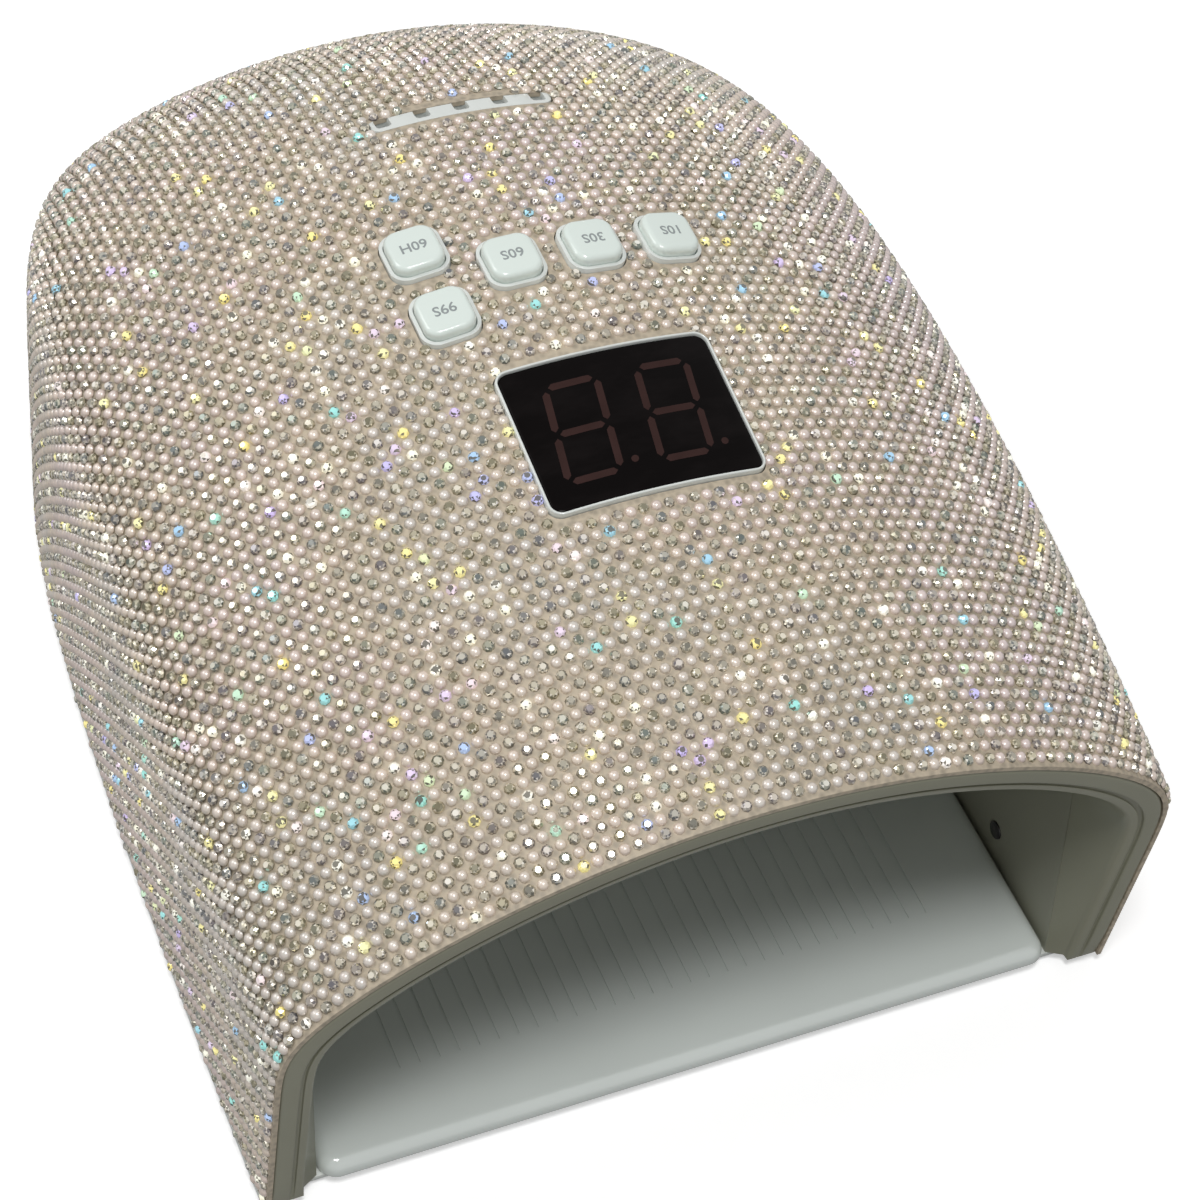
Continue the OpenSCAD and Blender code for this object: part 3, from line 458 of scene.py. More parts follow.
# ---------------------------------------------------------------- the dome
class Dome:
    """The rules that every curved piece of the housing follows, in metres."""
    PLAN_RUN, PLAN_ROUND, ROOF_RUN, ROOF_ROUND = 6.2, 4.5, 1.5, 6.0
    REAR_FLAT = 0.9985

    def __init__(self, sizes):
        self.sizes = sizes
        self.front = -sizes.length / 2
        self.length = sizes.length
        self.skirt = sizes.skirt

    @staticmethod
    def run(s, power, root):
        return np.maximum(1 - np.clip(s, 0, 1) ** power, 0.0) ** (1 / root)

    def half_width(self, s):
        z = self.sizes
        straight = z.width / 2 - z.taper * s + z.bulge * s * (1 - s)
        return straight * self.run(s, self.PLAN_RUN, self.PLAN_ROUND)

    def roof(self, s):
        z = self.sizes
        ridge = z.front_height + z.roof_rise * s - z.roof_fall * s * s
        return ridge * self.run(s, self.ROOF_RUN, self.ROOF_ROUND)

    def drop(self, s):
        return self.sizes.crown - self.sizes.crown_fade * s

    def share(self, y):
        return (y - self.front) / self.length

    def funnel(self, z):
        """Distance from the front to the end of the rim's funnel at a height."""
        shallow = RIM_PLATE + FUNNEL_FOOT
        z_share = (z - self.skirt) / (self.sizes.front_height - self.sizes.cavity_in)
        return shallow + (self.sizes.mouth - shallow) * z_share

    def corner(self, turn):
        """Shares across and up of the arch at a turn angle about its foot's middle."""
        across, up = np.cos(turn), np.sin(turn)
        low, high = np.full_like(turn, 0.5), np.full_like(turn, 1.5)
        for _ in range(40):
            mid = (low + high) / 2
            sideways = np.abs(mid * across) ** self.sizes.shoulder
            over = sideways + np.abs(mid * up) ** self.sizes.steepness > 1
            high = np.where(over, mid, high)
            low = np.where(over, low, mid)
        return low * across, low * up

    def arch(self, s, turn, depth=0.0):
        u, q = self.corner(turn)
        x = np.maximum(self.half_width(s) - depth, 0) * u
        z = self.skirt + np.maximum(self.roof(s) - depth, 0) * q * (1 - self.drop(s) * u * u)
        return x, z

    def along(self, s, depth):
        return self.front + s * self.length - depth * s ** 3

    def field(self, p):
        s = np.clip(self.share(p[..., 1]), 0, 0.99999)
        u = np.abs(p[..., 0]) / self.half_width(s)
        crowned = self.roof(s) * np.maximum(1 - self.drop(s) * u * u, 0.2)
        q = np.maximum(p[..., 2] - self.skirt, 0) / crowned
        return (u ** self.sizes.shoulder + q ** self.sizes.steepness) ** 0.1 - 1

    def slope(self, p, step=1e-6):
        parts = []
        for axis in range(3):
            shift = np.zeros(3)
            shift[axis] = step
            parts.append((self.field(p + shift) - self.field(p - shift)) / (2 * step))
        return np.stack(parts, -1)

    def facing(self, p):
        """Outward normals; the rear wall's middle is flat."""
        g = np.where(self.share(p[..., 1:2]) > self.REAR_FLAT, (0.0, 1.0, 0.0), self.slope(p))
        return g / np.maximum(np.linalg.norm(g, axis=-1, keepdims=True), 1e-9)

    def height(self, x, y):
        s = self.share(y)
        u = abs(x) / self.half_width(s)
        z = self.sizes
        ridge = self.roof(s) * (1 - self.drop(s) * u * u)
        return self.skirt + ridge * (1 - u ** z.shoulder) ** (1 / z.steepness)

    def place(self, x, y):
        """The frame of a spot on the roof, its third axis along the surface's normal."""
        half = 0.5 * MM
        slope_x = (self.height(x + half, y) - self.height(x - half, y)) / MM
        slope_y = (self.height(x, y + half) - self.height(x, y - half)) / MM
        up = Vector((-slope_x, -slope_y, 1)).normalized()
        right = Vector((0, 1, 0)).cross(up).normalized()
        back = up.cross(right)
        spot = Matrix((right, back, up)).transposed().to_4x4()
        spot.translation = (x, y, self.height(x, y))
        return spot

    def key_spots(self):
        z = self.sizes
        row = self.front + z.key_y
        xs = [i * z.key_pitch for i in (-1.5, -0.5, 0.5, 1.5)]
        return [(xs[0], row + z.key_stack), (xs[1], row), (xs[2], row), (xs[3], row),
                (xs[0], row - z.key_stack)]

    def openings(self):
        """Every opening of the roof: its frame, its width, length and corner radius."""
        z = self.sizes
        border, collar = 2 * z.border, 2 * z.collar
        window = (self.place(0, self.front + z.window_y), z.window_w + border,
                  z.window_l + border, WINDOW_CORNER)
        keys = [(self.place(*spot), z.key_w + collar, z.key_l + collar, KEY_CORNER)
                for spot in self.key_spots()]
        lapped = Matrix.Translation((0, -z.vent_cover / 2, 0))
        vent = (self.place(0, self.front + z.vent_y) @ lapped, z.vent_w,
                z.vent_l - z.vent_cover, VENT_CORNER)
        return [window, *keys, vent]


def evenly(points, step):
    """Points at equal steps along a path."""
    points = np.asarray(points)
    lengths = np.concatenate([[0], np.cumsum(np.linalg.norm(np.diff(points, axis=0), axis=1))])
    marks = np.arange(0.0, lengths[-1], step)
    return np.stack([np.interp(marks, lengths, points[:, k]) for k in range(points.shape[1])], -1)


# ---------------------------------------------------------------- mesh helpers
def add_object(name, mesh):
    made = bpy.data.objects.new(name, mesh)
    bpy.context.scene.collection.objects.link(made)
    return made


def from_lists(name, points, faces):
    mesh = bpy.data.meshes.new(name)
    mesh.from_pydata([tuple(p) for p in points], [], faces)
    mesh.validate()
    return add_object(name, mesh)


def from_bmesh(name, bm):
    mesh = bpy.data.meshes.new(name)
    bm.to_mesh(mesh)
    bm.free()
    return add_object(name, mesh)


def settled(piece):
    """Applies a piece's modifiers, so that it is a plain mesh."""
    graph = bpy.context.evaluated_depsgraph_get()
    mesh = bpy.data.meshes.new_from_object(piece.evaluated_get(graph),
                                           preserve_all_data_layers=True, depsgraph=graph)
    piece.modifiers.clear()
    piece.data = mesh
    return piece


def smoothed(piece, angle=35.0):
    mesh = piece.data
    mesh.polygons.foreach_set("use_smooth", [True] * len(mesh.polygons))
    mesh.set_sharp_from_angle(angle=math.radians(angle))
    return piece


def carved(piece, cutters):
    """Cuts one mesh out of another."""
    cut = piece.modifiers.new("carve", "BOOLEAN")
    cut.operation = "DIFFERENCE"
    cut.solver = "EXACT"
    cut.object = cutters
    settled(piece)
    bpy.data.objects.remove(cutters)
    return piece


def bevelled(piece, width):
    edge = piece.modifiers.new("edge", "BEVEL")
    edge.width = width
    edge.segments = 2
    edge.limit_method = "ANGLE"
    edge.angle_limit = math.radians(30.0)
    return settled(piece)


def keep(piece, body, slot, finish=None, nodes=()):
    """Gives a finished piece its finish, hangs it under its body and hides the nodes it stands in
    for.
    """
    piece.data.materials.clear()
    piece.data.materials.append(FINISHES[finish or slot])
    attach(piece, body)
    if nodes:
        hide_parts(*nodes)
    return piece


def rounded_outline(width, depth, radius, inset, steps=8):
    radius = max(radius - inset, 0.02 * MM)
    half_w, half_d = width / 2 - inset - radius, depth / 2 - inset - radius
    points = []
    for quarter, (cx, cy) in enumerate(((half_w, half_d), (-half_w, half_d), (-half_w, -half_d),
                                        (half_w, -half_d))):
        for k in range(steps + 1):
            turn = math.pi / 2 * (quarter + k / steps)
            points.append((cx + radius * math.cos(turn), cy + radius * math.sin(turn)))
    return points


def stack_rings(bm, rings, place=None):
    """A closed solid from outlines of equal count, the first and the last one capped."""
    place = place or Matrix.Identity(4)
    loops = [[bm.verts.new(place @ Vector(p)) for p in ring] for ring in rings]
    count = len(loops[0])
    bm.faces.new(list(reversed(loops[0])))
    bm.faces.new(loops[-1])
    for low, high in zip(loops, loops[1:]):
        for i in range(count):
            j = (i + 1) % count
            bm.faces.new((low[i], low[j], high[j], high[i]))
    return bm


def rounded_block(bm, width, depth, radius, low, high, place=None, edge=0.0, steps=8, edge_steps=4):
    """A block with rounded plan corners and a rounded upper edge."""
    levels = [(0.0, low)]
    for k in range(edge_steps + 1 if edge else 1):
        turn = math.pi / 2 * k / edge_steps
        levels.append((edge * (1 - math.cos(turn)), high - edge + edge * math.sin(turn)))
    rings = [[(x, y, z) for x, y in rounded_outline(width, depth, radius, inset, steps)]
             for inset, z in levels]
    return stack_rings(bm, rings, place)


def rod(bm, place, radius, low, high, sides=24):
    rings = [[(radius * math.cos(2 * math.pi * k / sides),
               radius * math.sin(2 * math.pi * k / sides), z) for k in range(sides)]
             for z in (low, high)]
    return stack_rings(bm, rings, place)


def turned(name, profile, sides=24):
    """A closed solid of revolution about the third axis, its profile from axis to axis."""
    points, rings = [], []
    for radius, z in profile:
        count = sides if radius > 1e-6 else 1
        rings.append((len(points), count))
        for k in range(count):
            angle = 2 * math.pi * k / sides
            points.append((radius * math.cos(angle), radius * math.sin(angle), z))
    faces = []
    for (low, low_n), (high, high_n) in zip(rings, rings[1:]):
        for k in range(sides):
            n = (k + 1) % sides
            if low_n == 1:
                faces.append((low, high + n, high + k))
            elif high_n == 1:
                faces.append((low + k, low + n, high))
            else:
                faces.append((low + k, low + n, high + n, high + k))
    return smoothed(from_lists(name, points, faces), 40)


def arc(radius, middle_r, middle_z, first, last, steps=5):
    """Points of a profile's rounded corner, its angles in degrees."""
    turns = np.radians(np.linspace(first, last, steps))
    return [(middle_r + radius * math.cos(t), middle_z + radius * math.sin(t)) for t in turns]


def merged(node):
    """A CAD node's triangles as one connected mesh."""
    bm = bmesh.new()
    bm.from_mesh(frame["nodes"][node].data)
    bmesh.ops.remove_doubles(bm, verts=bm.verts, dist=0.002 * MM)
    return bm


def part_boxes(node):
    """Middle and half size of each loose part of a CAD node."""
    bm = merged(node)
    left, boxes = set(bm.verts), []
    while left:
        stack, found = [left.pop()], []
        while stack:
            vert = stack.pop()
            found.append(vert.co.copy())
            for edge in vert.link_edges:
                other = edge.other_vert(vert)
                if other in left:
                    left.remove(other)
                    stack.append(other)
        points = np.array(found)
        boxes.append(((points.max(0) + points.min(0)) / 2, (points.max(0) - points.min(0)) / 2))
    bm.free()
    return sorted(boxes, key=lambda box: tuple(box[0].round(5)))


def cad_copy(name, node, bevel):
    """A merged copy of a CAD node with softened edges."""
    bm = merged(node)
    bmesh.ops.join_triangles(bm, faces=bm.faces, angle_face_threshold=math.radians(1),
                             angle_shape_threshold=math.pi)
    for face in bm.faces:
        face.material_index = 0
    return smoothed(bevelled(from_bmesh(name, bm), bevel))


def soften(name, node, bevel, slot):
    """Puts a softened copy in a CAD node's place."""
    keep(cad_copy(name, node, bevel), HOUSING, slot, nodes=[node])


# ---------------------------------------------------------------- stones
class StoneNet:
    """A net of equal threads laid over the dome from its front arch backwards."""
    FIRST_ROW = 1.7 * MM
    BELOW = 28 * MM
    SHEAR = 0.62
    TRIES = 14
    SLACK = 0.03

    def __init__(self, dome, pitch):
        self.dome = dome
        self.pitch = pitch
        self.points, self.good = self.lay()

    def seams(self):
        dome = self.dome
        first = self.FIRST_ROW / dome.length
        turn = np.linspace(math.pi / 2, 0, 4001)
        x, z = dome.arch(first, turn)
        front = dome.front + self.FIRST_ROW
        row = np.stack([x, np.full_like(x, front), z], -1)
        row = np.concatenate([row, [[x[-1], front, z[-1] - self.BELOW]]])
        share = 1 - (1 - np.linspace(0, 1, 4001)) ** 5 * (1 - first)
        height = dome.skirt + dome.roof(share)
        spine = np.stack([np.zeros_like(share), dome.front + share * dome.length, height], -1)
        return evenly(row, self.pitch), evenly(spine, self.pitch)

    def lay(self):
        row, spine = self.seams()
        rows, columns = len(spine), len(row)
        net = np.zeros((rows, columns, 3))
        good = np.zeros((rows, columns), bool)
        net[0], net[:, 0] = row, spine
        good[0], good[:, 0] = True, True
        for k in range(2, rows + columns - 1):
            i = np.arange(max(1, k - columns + 1), min(rows - 1, k - 1) + 1)
            j = k - i
            ready = good[i - 1, j] & good[i, j - 1] & good[i - 1, j - 1]
            i, j = i[ready], j[ready]
            if len(i):
                self.knot(net, good, i, j)
        return net, good

    def knot(self, net, good, i, j):
        a, b, c = net[i - 1, j], net[i, j - 1], net[i - 1, j - 1]
        p = a + b - c
        for _ in range(self.TRIES):
            square = self.pitch ** 2
            rest = np.stack([((p - a) ** 2).sum(-1) - square, ((p - b) ** 2).sum(-1) - square,
                             self.dome.field(p)], -1)
            jac = np.stack([2 * (p - a), 2 * (p - b), self.dome.slope(p)], -2)
            det = np.linalg.det(jac)
            safe = np.abs(det) > 1e-12
            step = np.zeros_like(p)
            if safe.any():
                step[safe] = np.linalg.solve(jac[safe], rest[safe][..., None])[..., 0]
            size = np.linalg.norm(step, axis=-1, keepdims=True)
            p = p - step * np.minimum(1, 0.5 * self.pitch / np.maximum(size, 1e-12))
        shear = ((p - a) * (p - b)).sum(-1) / self.pitch ** 2
        fine = (np.abs(self.dome.field(p)) < 1e-5) & (np.abs(shear) < self.SHEAR)
        fine &= np.linalg.norm(p - c, axis=-1) > self.pitch * 0.5
        fine &= np.abs(np.linalg.norm(p - a, axis=-1) - self.pitch) < self.SLACK * self.pitch
        net[i, j] = p
        good[i, j] = fine


class StoneField:
    """Where the stones sit: the net, then rows round the walls, then single ones in gaps."""
    MARGIN = 1.2 * MM
    PUSH = 0.9 * MM
    SNUG_GAP = 0.88
    LOWEST = 1.6 * MM
    WALL_TOP = 130 * MM
    NET_GAP = 0.8
    WALL_GAP = 0.93
    LOOSE_GAP = 0.90
    LOOSE_TRIES = 60000
    OPENING_DEPTH = 15 * MM

    def __init__(self, dome, stones):
        self.dome = dome
        self.pitch = stones.pitch
        self.random = np.random.default_rng(stones.seed)
        self.grid = {}
        self.spots, self.kinds = [], []
        self.lay_net()
        self.lay_wall()
        self.lay_loose()

    def near(self, p, gap):
        key = tuple((p // self.pitch).astype(int))
        for dx in (-1, 0, 1):
            for dy in (-1, 0, 1):
                for dz in (-1, 0, 1):
                    for other in self.grid.get((key[0] + dx, key[1] + dy, key[2] + dz), ()):
                        if ((p - other) ** 2).sum() < gap * gap:
                            return True
        return False

    def add(self, p, kind):
        self.grid.setdefault(tuple((p // self.pitch).astype(int)), []).append(p)
        self.spots.append(p)
        self.kinds.append(kind)

    def offer(self, points, kinds, gap):
        for p, kind in zip(points, kinds):
            if p[2] > self.dome.skirt + self.LOWEST and not self.near(p, gap):
                self.add(p, kind)

    def lay_net(self):
        net = StoneNet(self.dome, self.pitch)
        rows, columns = np.nonzero(net.good)
        kinds = (rows + columns) % 2
        points = net.points[rows, columns]
        self.offer(points, kinds, self.NET_GAP * self.pitch)
        mirrored = points[columns > 0] * np.array([-1, 1, 1])
        self.offer(mirrored, kinds[columns > 0], self.NET_GAP * self.pitch)

    def lay_wall(self):
        dome = self.dome
        share = 1 - (1 - np.linspace(0, 1, 3000)) ** 3 * 0.9999
        heights = np.arange(dome.skirt + self.LOWEST + 0.2 * MM, self.WALL_TOP, self.pitch)
        for row, z in enumerate(heights):
            roof = dome.roof(share)
            low, high = np.zeros_like(share), np.ones_like(share)
            for _ in range(40):
                mid = (low + high) / 2
                rest = np.maximum(1 - mid ** dome.sizes.shoulder, 0) ** (1 / dome.sizes.steepness)
                tall = dome.skirt + roof * (1 - dome.drop(share) * mid ** 2) * rest > z
                low, high = np.where(tall, mid, low), np.where(tall, high, mid)
            inside = dome.skirt + roof > z
            path = np.stack([dome.half_width(share) * low, dome.front + share * dome.length,
                             np.full_like(share, z)], -1)[inside]
            if len(path) < 2:
                continue
            points = evenly(path[::-1], self.pitch)
            kinds = (np.arange(len(points)) + row) % 2
            self.offer(points, kinds, self.WALL_GAP * self.pitch)
            self.offer(points[1:] * np.array([-1, 1, 1]), kinds[1:], self.WALL_GAP * self.pitch)

    def lay_loose(self):
        dome = self.dome
        share = 0.35 + 0.65 * (1 - self.random.random(self.LOOSE_TRIES) ** 3)
        turn = self.random.random(self.LOOSE_TRIES) * math.pi
        x, z = dome.arch(share, turn)
        points = np.stack([x, dome.front + share * dome.length, z], -1)
        self.offer(points, self.random.integers(0, 2, self.LOOSE_TRIES),
                   self.LOOSE_GAP * self.pitch)

    def clear(self):
        """Spots and kinds outside the openings.

        Stones that an edge would cut move out to it where there is room.
        """
        spots, kinds = np.array(self.spots), np.array(self.kinds)
        free = self.dome.share(spots[:, 1]) < 1.0001
        pushed, pushed_kinds = [], []
        for place, width, depth, radius in self.dome.openings():
            turn, middle = np.array(place.to_3x3()), np.array(place.translation)
            local = (spots - middle) @ turn
            half = np.array([width / 2 - radius, depth / 2 - radius])
            away = np.maximum(np.abs(local[:, :2]) - half, 0)
            reach = np.hypot(away[:, 0], away[:, 1])
            hit = (reach < radius + self.MARGIN) & (np.abs(local[:, 2]) < self.OPENING_DEPTH)
            near = hit & (reach > radius - self.PUSH)
            step = (radius + self.MARGIN) / np.maximum(reach, 1e-9) - 1
            local[:, :2] += np.sign(local[:, :2]) * away * step[:, None]
            pushed += list((local @ turn.T + middle)[near])
            pushed_kinds += list(kinds[near])
            free &= ~hit
        up = spots[:, 2] - (self.dome.skirt + SOCKET_UP)
        socket = (np.hypot(spots[:, 0], up) < SOCKET_R + self.MARGIN) & (spots[:, 1] > 0)
        free &= ~socket
        kept, kept_kinds = list(spots[free]), list(kinds[free])
        for p, kind in zip(pushed, pushed_kinds):
            p[2] = self.dome.height(p[0], p[1])
            gaps = np.linalg.norm(np.array(kept) - p, axis=1)
            if gaps.min() > self.SNUG_GAP * self.pitch:
                kept.append(p)
                kept_kinds.append(kind)
        return np.array(kept), np.array(kept_kinds)


def pearl_shape(width, height):
    """Half a pearl on a short foot, in a few dozen faces."""
    sides, levels = 10, 4
    points = [(0, 0, height)]
    for level in range(1, levels + 1):
        turn = math.pi / 2 * level / levels
        for k in range(sides):
            around = 2 * math.pi * k / sides
            reach = width / 2 * math.sin(turn)
            points.append((reach * math.cos(around), reach * math.sin(around),
                           height * math.cos(turn)))
    faces = [(0, 1 + k, 1 + (k + 1) % sides) for k in range(sides)]
    for level in range(levels - 1):
        base = 1 + level * sides
        for k in range(sides):
            n = (k + 1) % sides
            faces.append((base + k, base + sides + k, base + sides + n, base + n))
    foot = 1 + (levels - 1) * sides
    faces.append(tuple(foot + k for k in reversed(range(sides))))
    shape = from_lists("pearl_shape", points, faces)
    return smoothed(shape, 80.0)


def crystal_shape(width, height):
    """A cut stone: table, two rings of crown facets and a girdle."""
    sides = 8
    rings = ((0.0, 0.50, 0.0), (0.22 * height, 0.50, 0.0), (0.66 * height, 0.40, 0.5),
             (height, 0.25, 0.0))
    points = []
    for z, share, shift in rings:
        for k in range(sides):
            turn = 2 * math.pi * (k + shift) / sides
            points.append((width * share * math.cos(turn), width * share * math.sin(turn), z))
    faces = [tuple(reversed(range(sides))), tuple(range(3 * sides, 4 * sides))]
    for k in range(sides):
        n = (k + 1) % sides
        faces.append((k, n, sides + n, sides + k))
        faces += [(sides + k, sides + n, 2 * sides + k), (sides + n, 2 * sides + n, 2 * sides + k)]
        faces += [(2 * sides + k, 3 * sides + n, 3 * sides + k),
                  (2 * sides + k, 2 * sides + n, 3 * sides + n)]
    return from_lists("crystal_shape", points, faces)


def setting_tree():
    """Geometry nodes that set a shape on every point, its third axis along the point's facing."""
    tree = bpy.data.node_groups.new("Shape setting", "GeometryNodeTree")
    sheet = NodeSheet(tree)
    face = tree.interface
    face.new_socket("Geometry", in_out="OUTPUT", socket_type="NodeSocketGeometry")
    for name, kind in (("Geometry", "Geometry"), ("Shape", "Object"), ("Size spread", "Float"),
                       ("Tilt", "Float"), ("Spin", "Float"), ("Seed", "Int"),
                       ("Material", "Material")):
        face.new_socket(name, in_out="INPUT", socket_type="NodeSocket" + kind)
    source = tree.nodes.new("NodeGroupInput")
    given = {s.name: Socket(sheet, s) for s in source.outputs if s.name}
    shape = sheet.node("GeometryNodeObjectInfo", None, {"Object": given["Shape"]}, "Geometry")
    facing = sheet.node("GeometryNodeInputNamedAttribute", {"data_type": "FLOAT_VECTOR"},
                        {"Name": "facing"})
    upright = sheet.node("FunctionNodeAlignRotationToVector", {"axis": "Z"}, {"Vector": facing})
    low = sheet.node("ShaderNodeCombineXYZ", None,
                     {0: given["Tilt"] * -1.0, 1: given["Tilt"] * -1.0, 2: given["Spin"] * -1.0})
    high = sheet.node("ShaderNodeCombineXYZ", None,
                      {0: given["Tilt"], 1: given["Tilt"], 2: given["Spin"]})
    wobble = sheet.node("FunctionNodeRandomValue", {"data_type": "FLOAT_VECTOR"},
                        {"Min": low, "Max": high, "Seed": given["Seed"]})
    turn = sheet.node("FunctionNodeEulerToRotation", None, {0: wobble})
    rotation = sheet.node("FunctionNodeRotateRotation", {"rotation_space": "LOCAL"},
                          {0: upright, 1: turn})
    size = sheet.node("FunctionNodeRandomValue", {"data_type": "FLOAT"},
                      {"Min": 1.0 - given["Size spread"], "Max": 1.0 + given["Size spread"],
                       "Seed": given["Seed"] + 1.0})
    placed = sheet.node("GeometryNodeInstanceOnPoints", None,
                        {"Points": given["Geometry"], "Instance": shape, "Rotation": rotation,
                         "Scale": size})
    # per stone draws: a random tone, and which stones carry painted glints
    for name, shift in (("stone_tone", 2.0), ("flash", 3.0)):
        draw = sheet.node("FunctionNodeRandomValue", {"data_type": "FLOAT"},
                          {"Min": 0.0, "Max": 1.0, "Seed": given["Seed"] + shift})
        placed = sheet.node("GeometryNodeStoreNamedAttribute",
                            {"data_type": "FLOAT", "domain": "INSTANCE"},
                            {"Geometry": placed, "Name": name, "Value": draw})
    real = sheet.node("GeometryNodeRealizeInstances", None, {"Geometry": placed})
    # a draw per face that the crystals use for their painted facet reflections
    draw = sheet.node("FunctionNodeRandomValue", {"data_type": "FLOAT"},
                      {"Min": 0.0, "Max": 1.0, "Seed": given["Seed"] + 4.0})
    toned = sheet.node("GeometryNodeStoreNamedAttribute", {"data_type": "FLOAT", "domain": "FACE"},
                       {"Geometry": real, "Name": "facet_tone", "Value": draw})
    coloured = sheet.node("GeometryNodeSetMaterial", None,
                          {"Geometry": toned, "Material": given["Material"]})
    result = tree.nodes.new("NodeGroupOutput")
    tree.links.new(coloured.socket, result.inputs[0])
    return tree


SETTING = []


def set_shapes(name, points, facing, shape, finish, spread=0.0, tilt=0.0, spin=0.0, seed=0):
    """A plain mesh of one shape set on many points."""
    if not SETTING:
        SETTING.append(setting_tree())
    piece = from_lists(name, points, [])
    column = piece.data.attributes.new("facing", "FLOAT_VECTOR", "POINT")
    column.data.foreach_set("vector", np.asarray(facing, np.float32).ravel())
    setting = piece.modifiers.new("setting", "NODES")
    setting.node_group = SETTING[0]
    set_inputs(setting, {"Shape": shape, "Size spread": spread, "Tilt": tilt, "Spin": spin,
                         "Seed": seed, "Material": FINISHES[finish]})
    return settled(piece)


def set_inputs(modifier, values):
    """Sets a modifier's inputs by the identifiers of its named sockets."""
    for item in modifier.node_group.interface.items_tree:
        if item.item_type == "SOCKET" and item.in_out == "INPUT" and item.name in values:
            modifier[item.identifier] = values[item.name]


# ---------------------------------------------------------------- pieces of the housing
def skin_solid(name, dome, outer, inner):
    """The dome's skin between two depths as a closed solid."""
    stations, steps = 110, 150
    share = 1 - (1 - np.linspace(0, 1, stations)) ** 2.2
    turn = np.linspace(0, math.pi, steps)
    points, rows = [], []
    for depth in (outer, inner):
        grid = []
        for s in share[:-1]:
            x, z = dome.arch(s, turn, depth)
            y = dome.along(s, depth)
            start = len(points)
            points += [(px, y, pz) for px, pz in zip(x, z)]
            grid.append(range(start, start + steps))
        points.append((0, dome.along(1.0, depth), dome.skirt))
        rows.append((grid, len(points) - 1))
    faces = []
    (out, out_pole), (inn, inn_pole) = rows
    last = len(out) - 1
    for i in range(last):
        for j in range(steps - 1):
            faces.append((out[i][j], out[i][j + 1], out[i + 1][j + 1], out[i + 1][j]))
            faces.append((inn[i][j], inn[i + 1][j], inn[i + 1][j + 1], inn[i][j + 1]))
        faces.append((out[i][0], out[i + 1][0], inn[i + 1][0], inn[i][0]))
        faces.append((out[i][-1], inn[i][-1], inn[i + 1][-1], out[i + 1][-1]))
    for j in range(steps - 1):
        faces.append((out[last][j], out[last][j + 1], out_pole))
        faces.append((inn[last][j + 1], inn[last][j], inn_pole))
        faces.append((out[0][j + 1], out[0][j], inn[0][j], inn[0][j + 1]))
    faces.append((out[last][0], out_pole, inn_pole, inn[last][0]))
    faces.append((out_pole, out[last][-1], inn[last][-1], inn_pole))
    piece = from_lists(name, points, faces)
    bm = bmesh.new()
    bm.from_mesh(piece.data)
    bmesh.ops.recalc_face_normals(bm, faces=bm.faces)
    bm.to_mesh(piece.data)
    bm.free()
    return piece


def opening_cutters(dome):
    """Blocks that cut the roof's openings and the inlet's hole, a little wider than they are."""
    gap, reach = 0.2 * MM, 20 * MM
    bm = bmesh.new()
    for place, width, depth, radius in dome.openings():
        rounded_block(bm, width + 2 * gap, depth + 2 * gap, radius, -14 * MM, 5 * MM, place)
    rear = Matrix.Translation((0, dome.length / 2 - reach, dome.skirt + SOCKET_UP)) \
        @ Matrix.Rotation(-math.pi / 2, 4, "X")
    rod(bm, rear, SOCKET_R, 0, 2 * reach, 48)
    return from_bmesh("cutters", bm)


def fine_turns(dome, depth):
    """Turn angles at equal steps round the front arch."""
    turn = np.linspace(0, math.pi, 6001)
    x, z = dome.arch(0.0, turn, depth)
    lengths = np.concatenate([[0], np.cumsum(np.hypot(np.diff(x), np.diff(z)))])
    count = int(lengths[-1] / ARCH_STEP)
    return np.interp(np.linspace(0, lengths[-1], count + 1), lengths, turn)


def swept(name, dome, corners, turn):
    """A closed profile of (depth, distance from the front) swept round the front arch."""
    points, faces = [], []
    for depth, back in corners:
        x, z = dome.arch(0.0, turn, depth)
        points.append([(px, dome.front + back, pz) for px, pz in zip(x, z)])
    count, steps = len(corners), len(turn)
    flat = [points[i][j] for j in range(steps) for i in range(count)]
    for j in range(steps - 1):
        for i in range(count):
            n = (i + 1) % count
            faces.append((j * count + i, j * count + n, (j + 1) * count + n, (j + 1) * count + i))
    faces.append(tuple(range(count)))
    faces.append(tuple((steps - 1) * count + i for i in reversed(range(count))))
    bm = bmesh.new()
    verts = [bm.verts.new(p) for p in flat]
    for face in faces:
        bm.faces.new([verts[i] for i in face])
    bmesh.ops.recalc_face_normals(bm, faces=bm.faces)
    return from_bmesh(name, bm)


def filleted(corners, radius):
    """A profile with its corners rounded off."""
    rounded, steps = [], 4
    count = len(corners)
    for i, corner in enumerate(corners):
        c = Vector(corner)
        before, after = Vector(corners[i - 1]) - c, Vector(corners[(i + 1) % count]) - c
        reach = min(radius, before.length * 0.45, after.length * 0.45)
        a, b = c + before.normalized() * reach, c + after.normalized() * reach
        for k in range(steps + 1):
            t = k / steps
            rounded.append(tuple(a * (1 - t) ** 2 + c * 2 * t * (1 - t) + b * t * t))
    return rounded


class LampOperator(bpy.types.Operator):
    """Base of the lamp's build steps."""
    bl_idname = "lamp.step"
    bl_label = "Build step"
    bl_options = {"REGISTER"}

    def execute(self, context):
        self.build(context.scene.lamp_housing, context.scene.lamp_stones,
                   context.scene.lamp_colours)
        return {"FINISHED"}


class LAMP_OT_finishes(LampOperator):
    """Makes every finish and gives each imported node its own"""
    bl_idname = "lamp.finishes"
    bl_label = "Finishes"

    def build(self, sizes, stones, colours):
        make_finishes(colours)
        slots = {row["node"]: row["material_slot"] for row in frame["record"]["subparts"]}
        for name, node in frame["nodes"].items():
            node.data.materials.clear()
            node.data.materials.append(FINISHES[slots[name]])


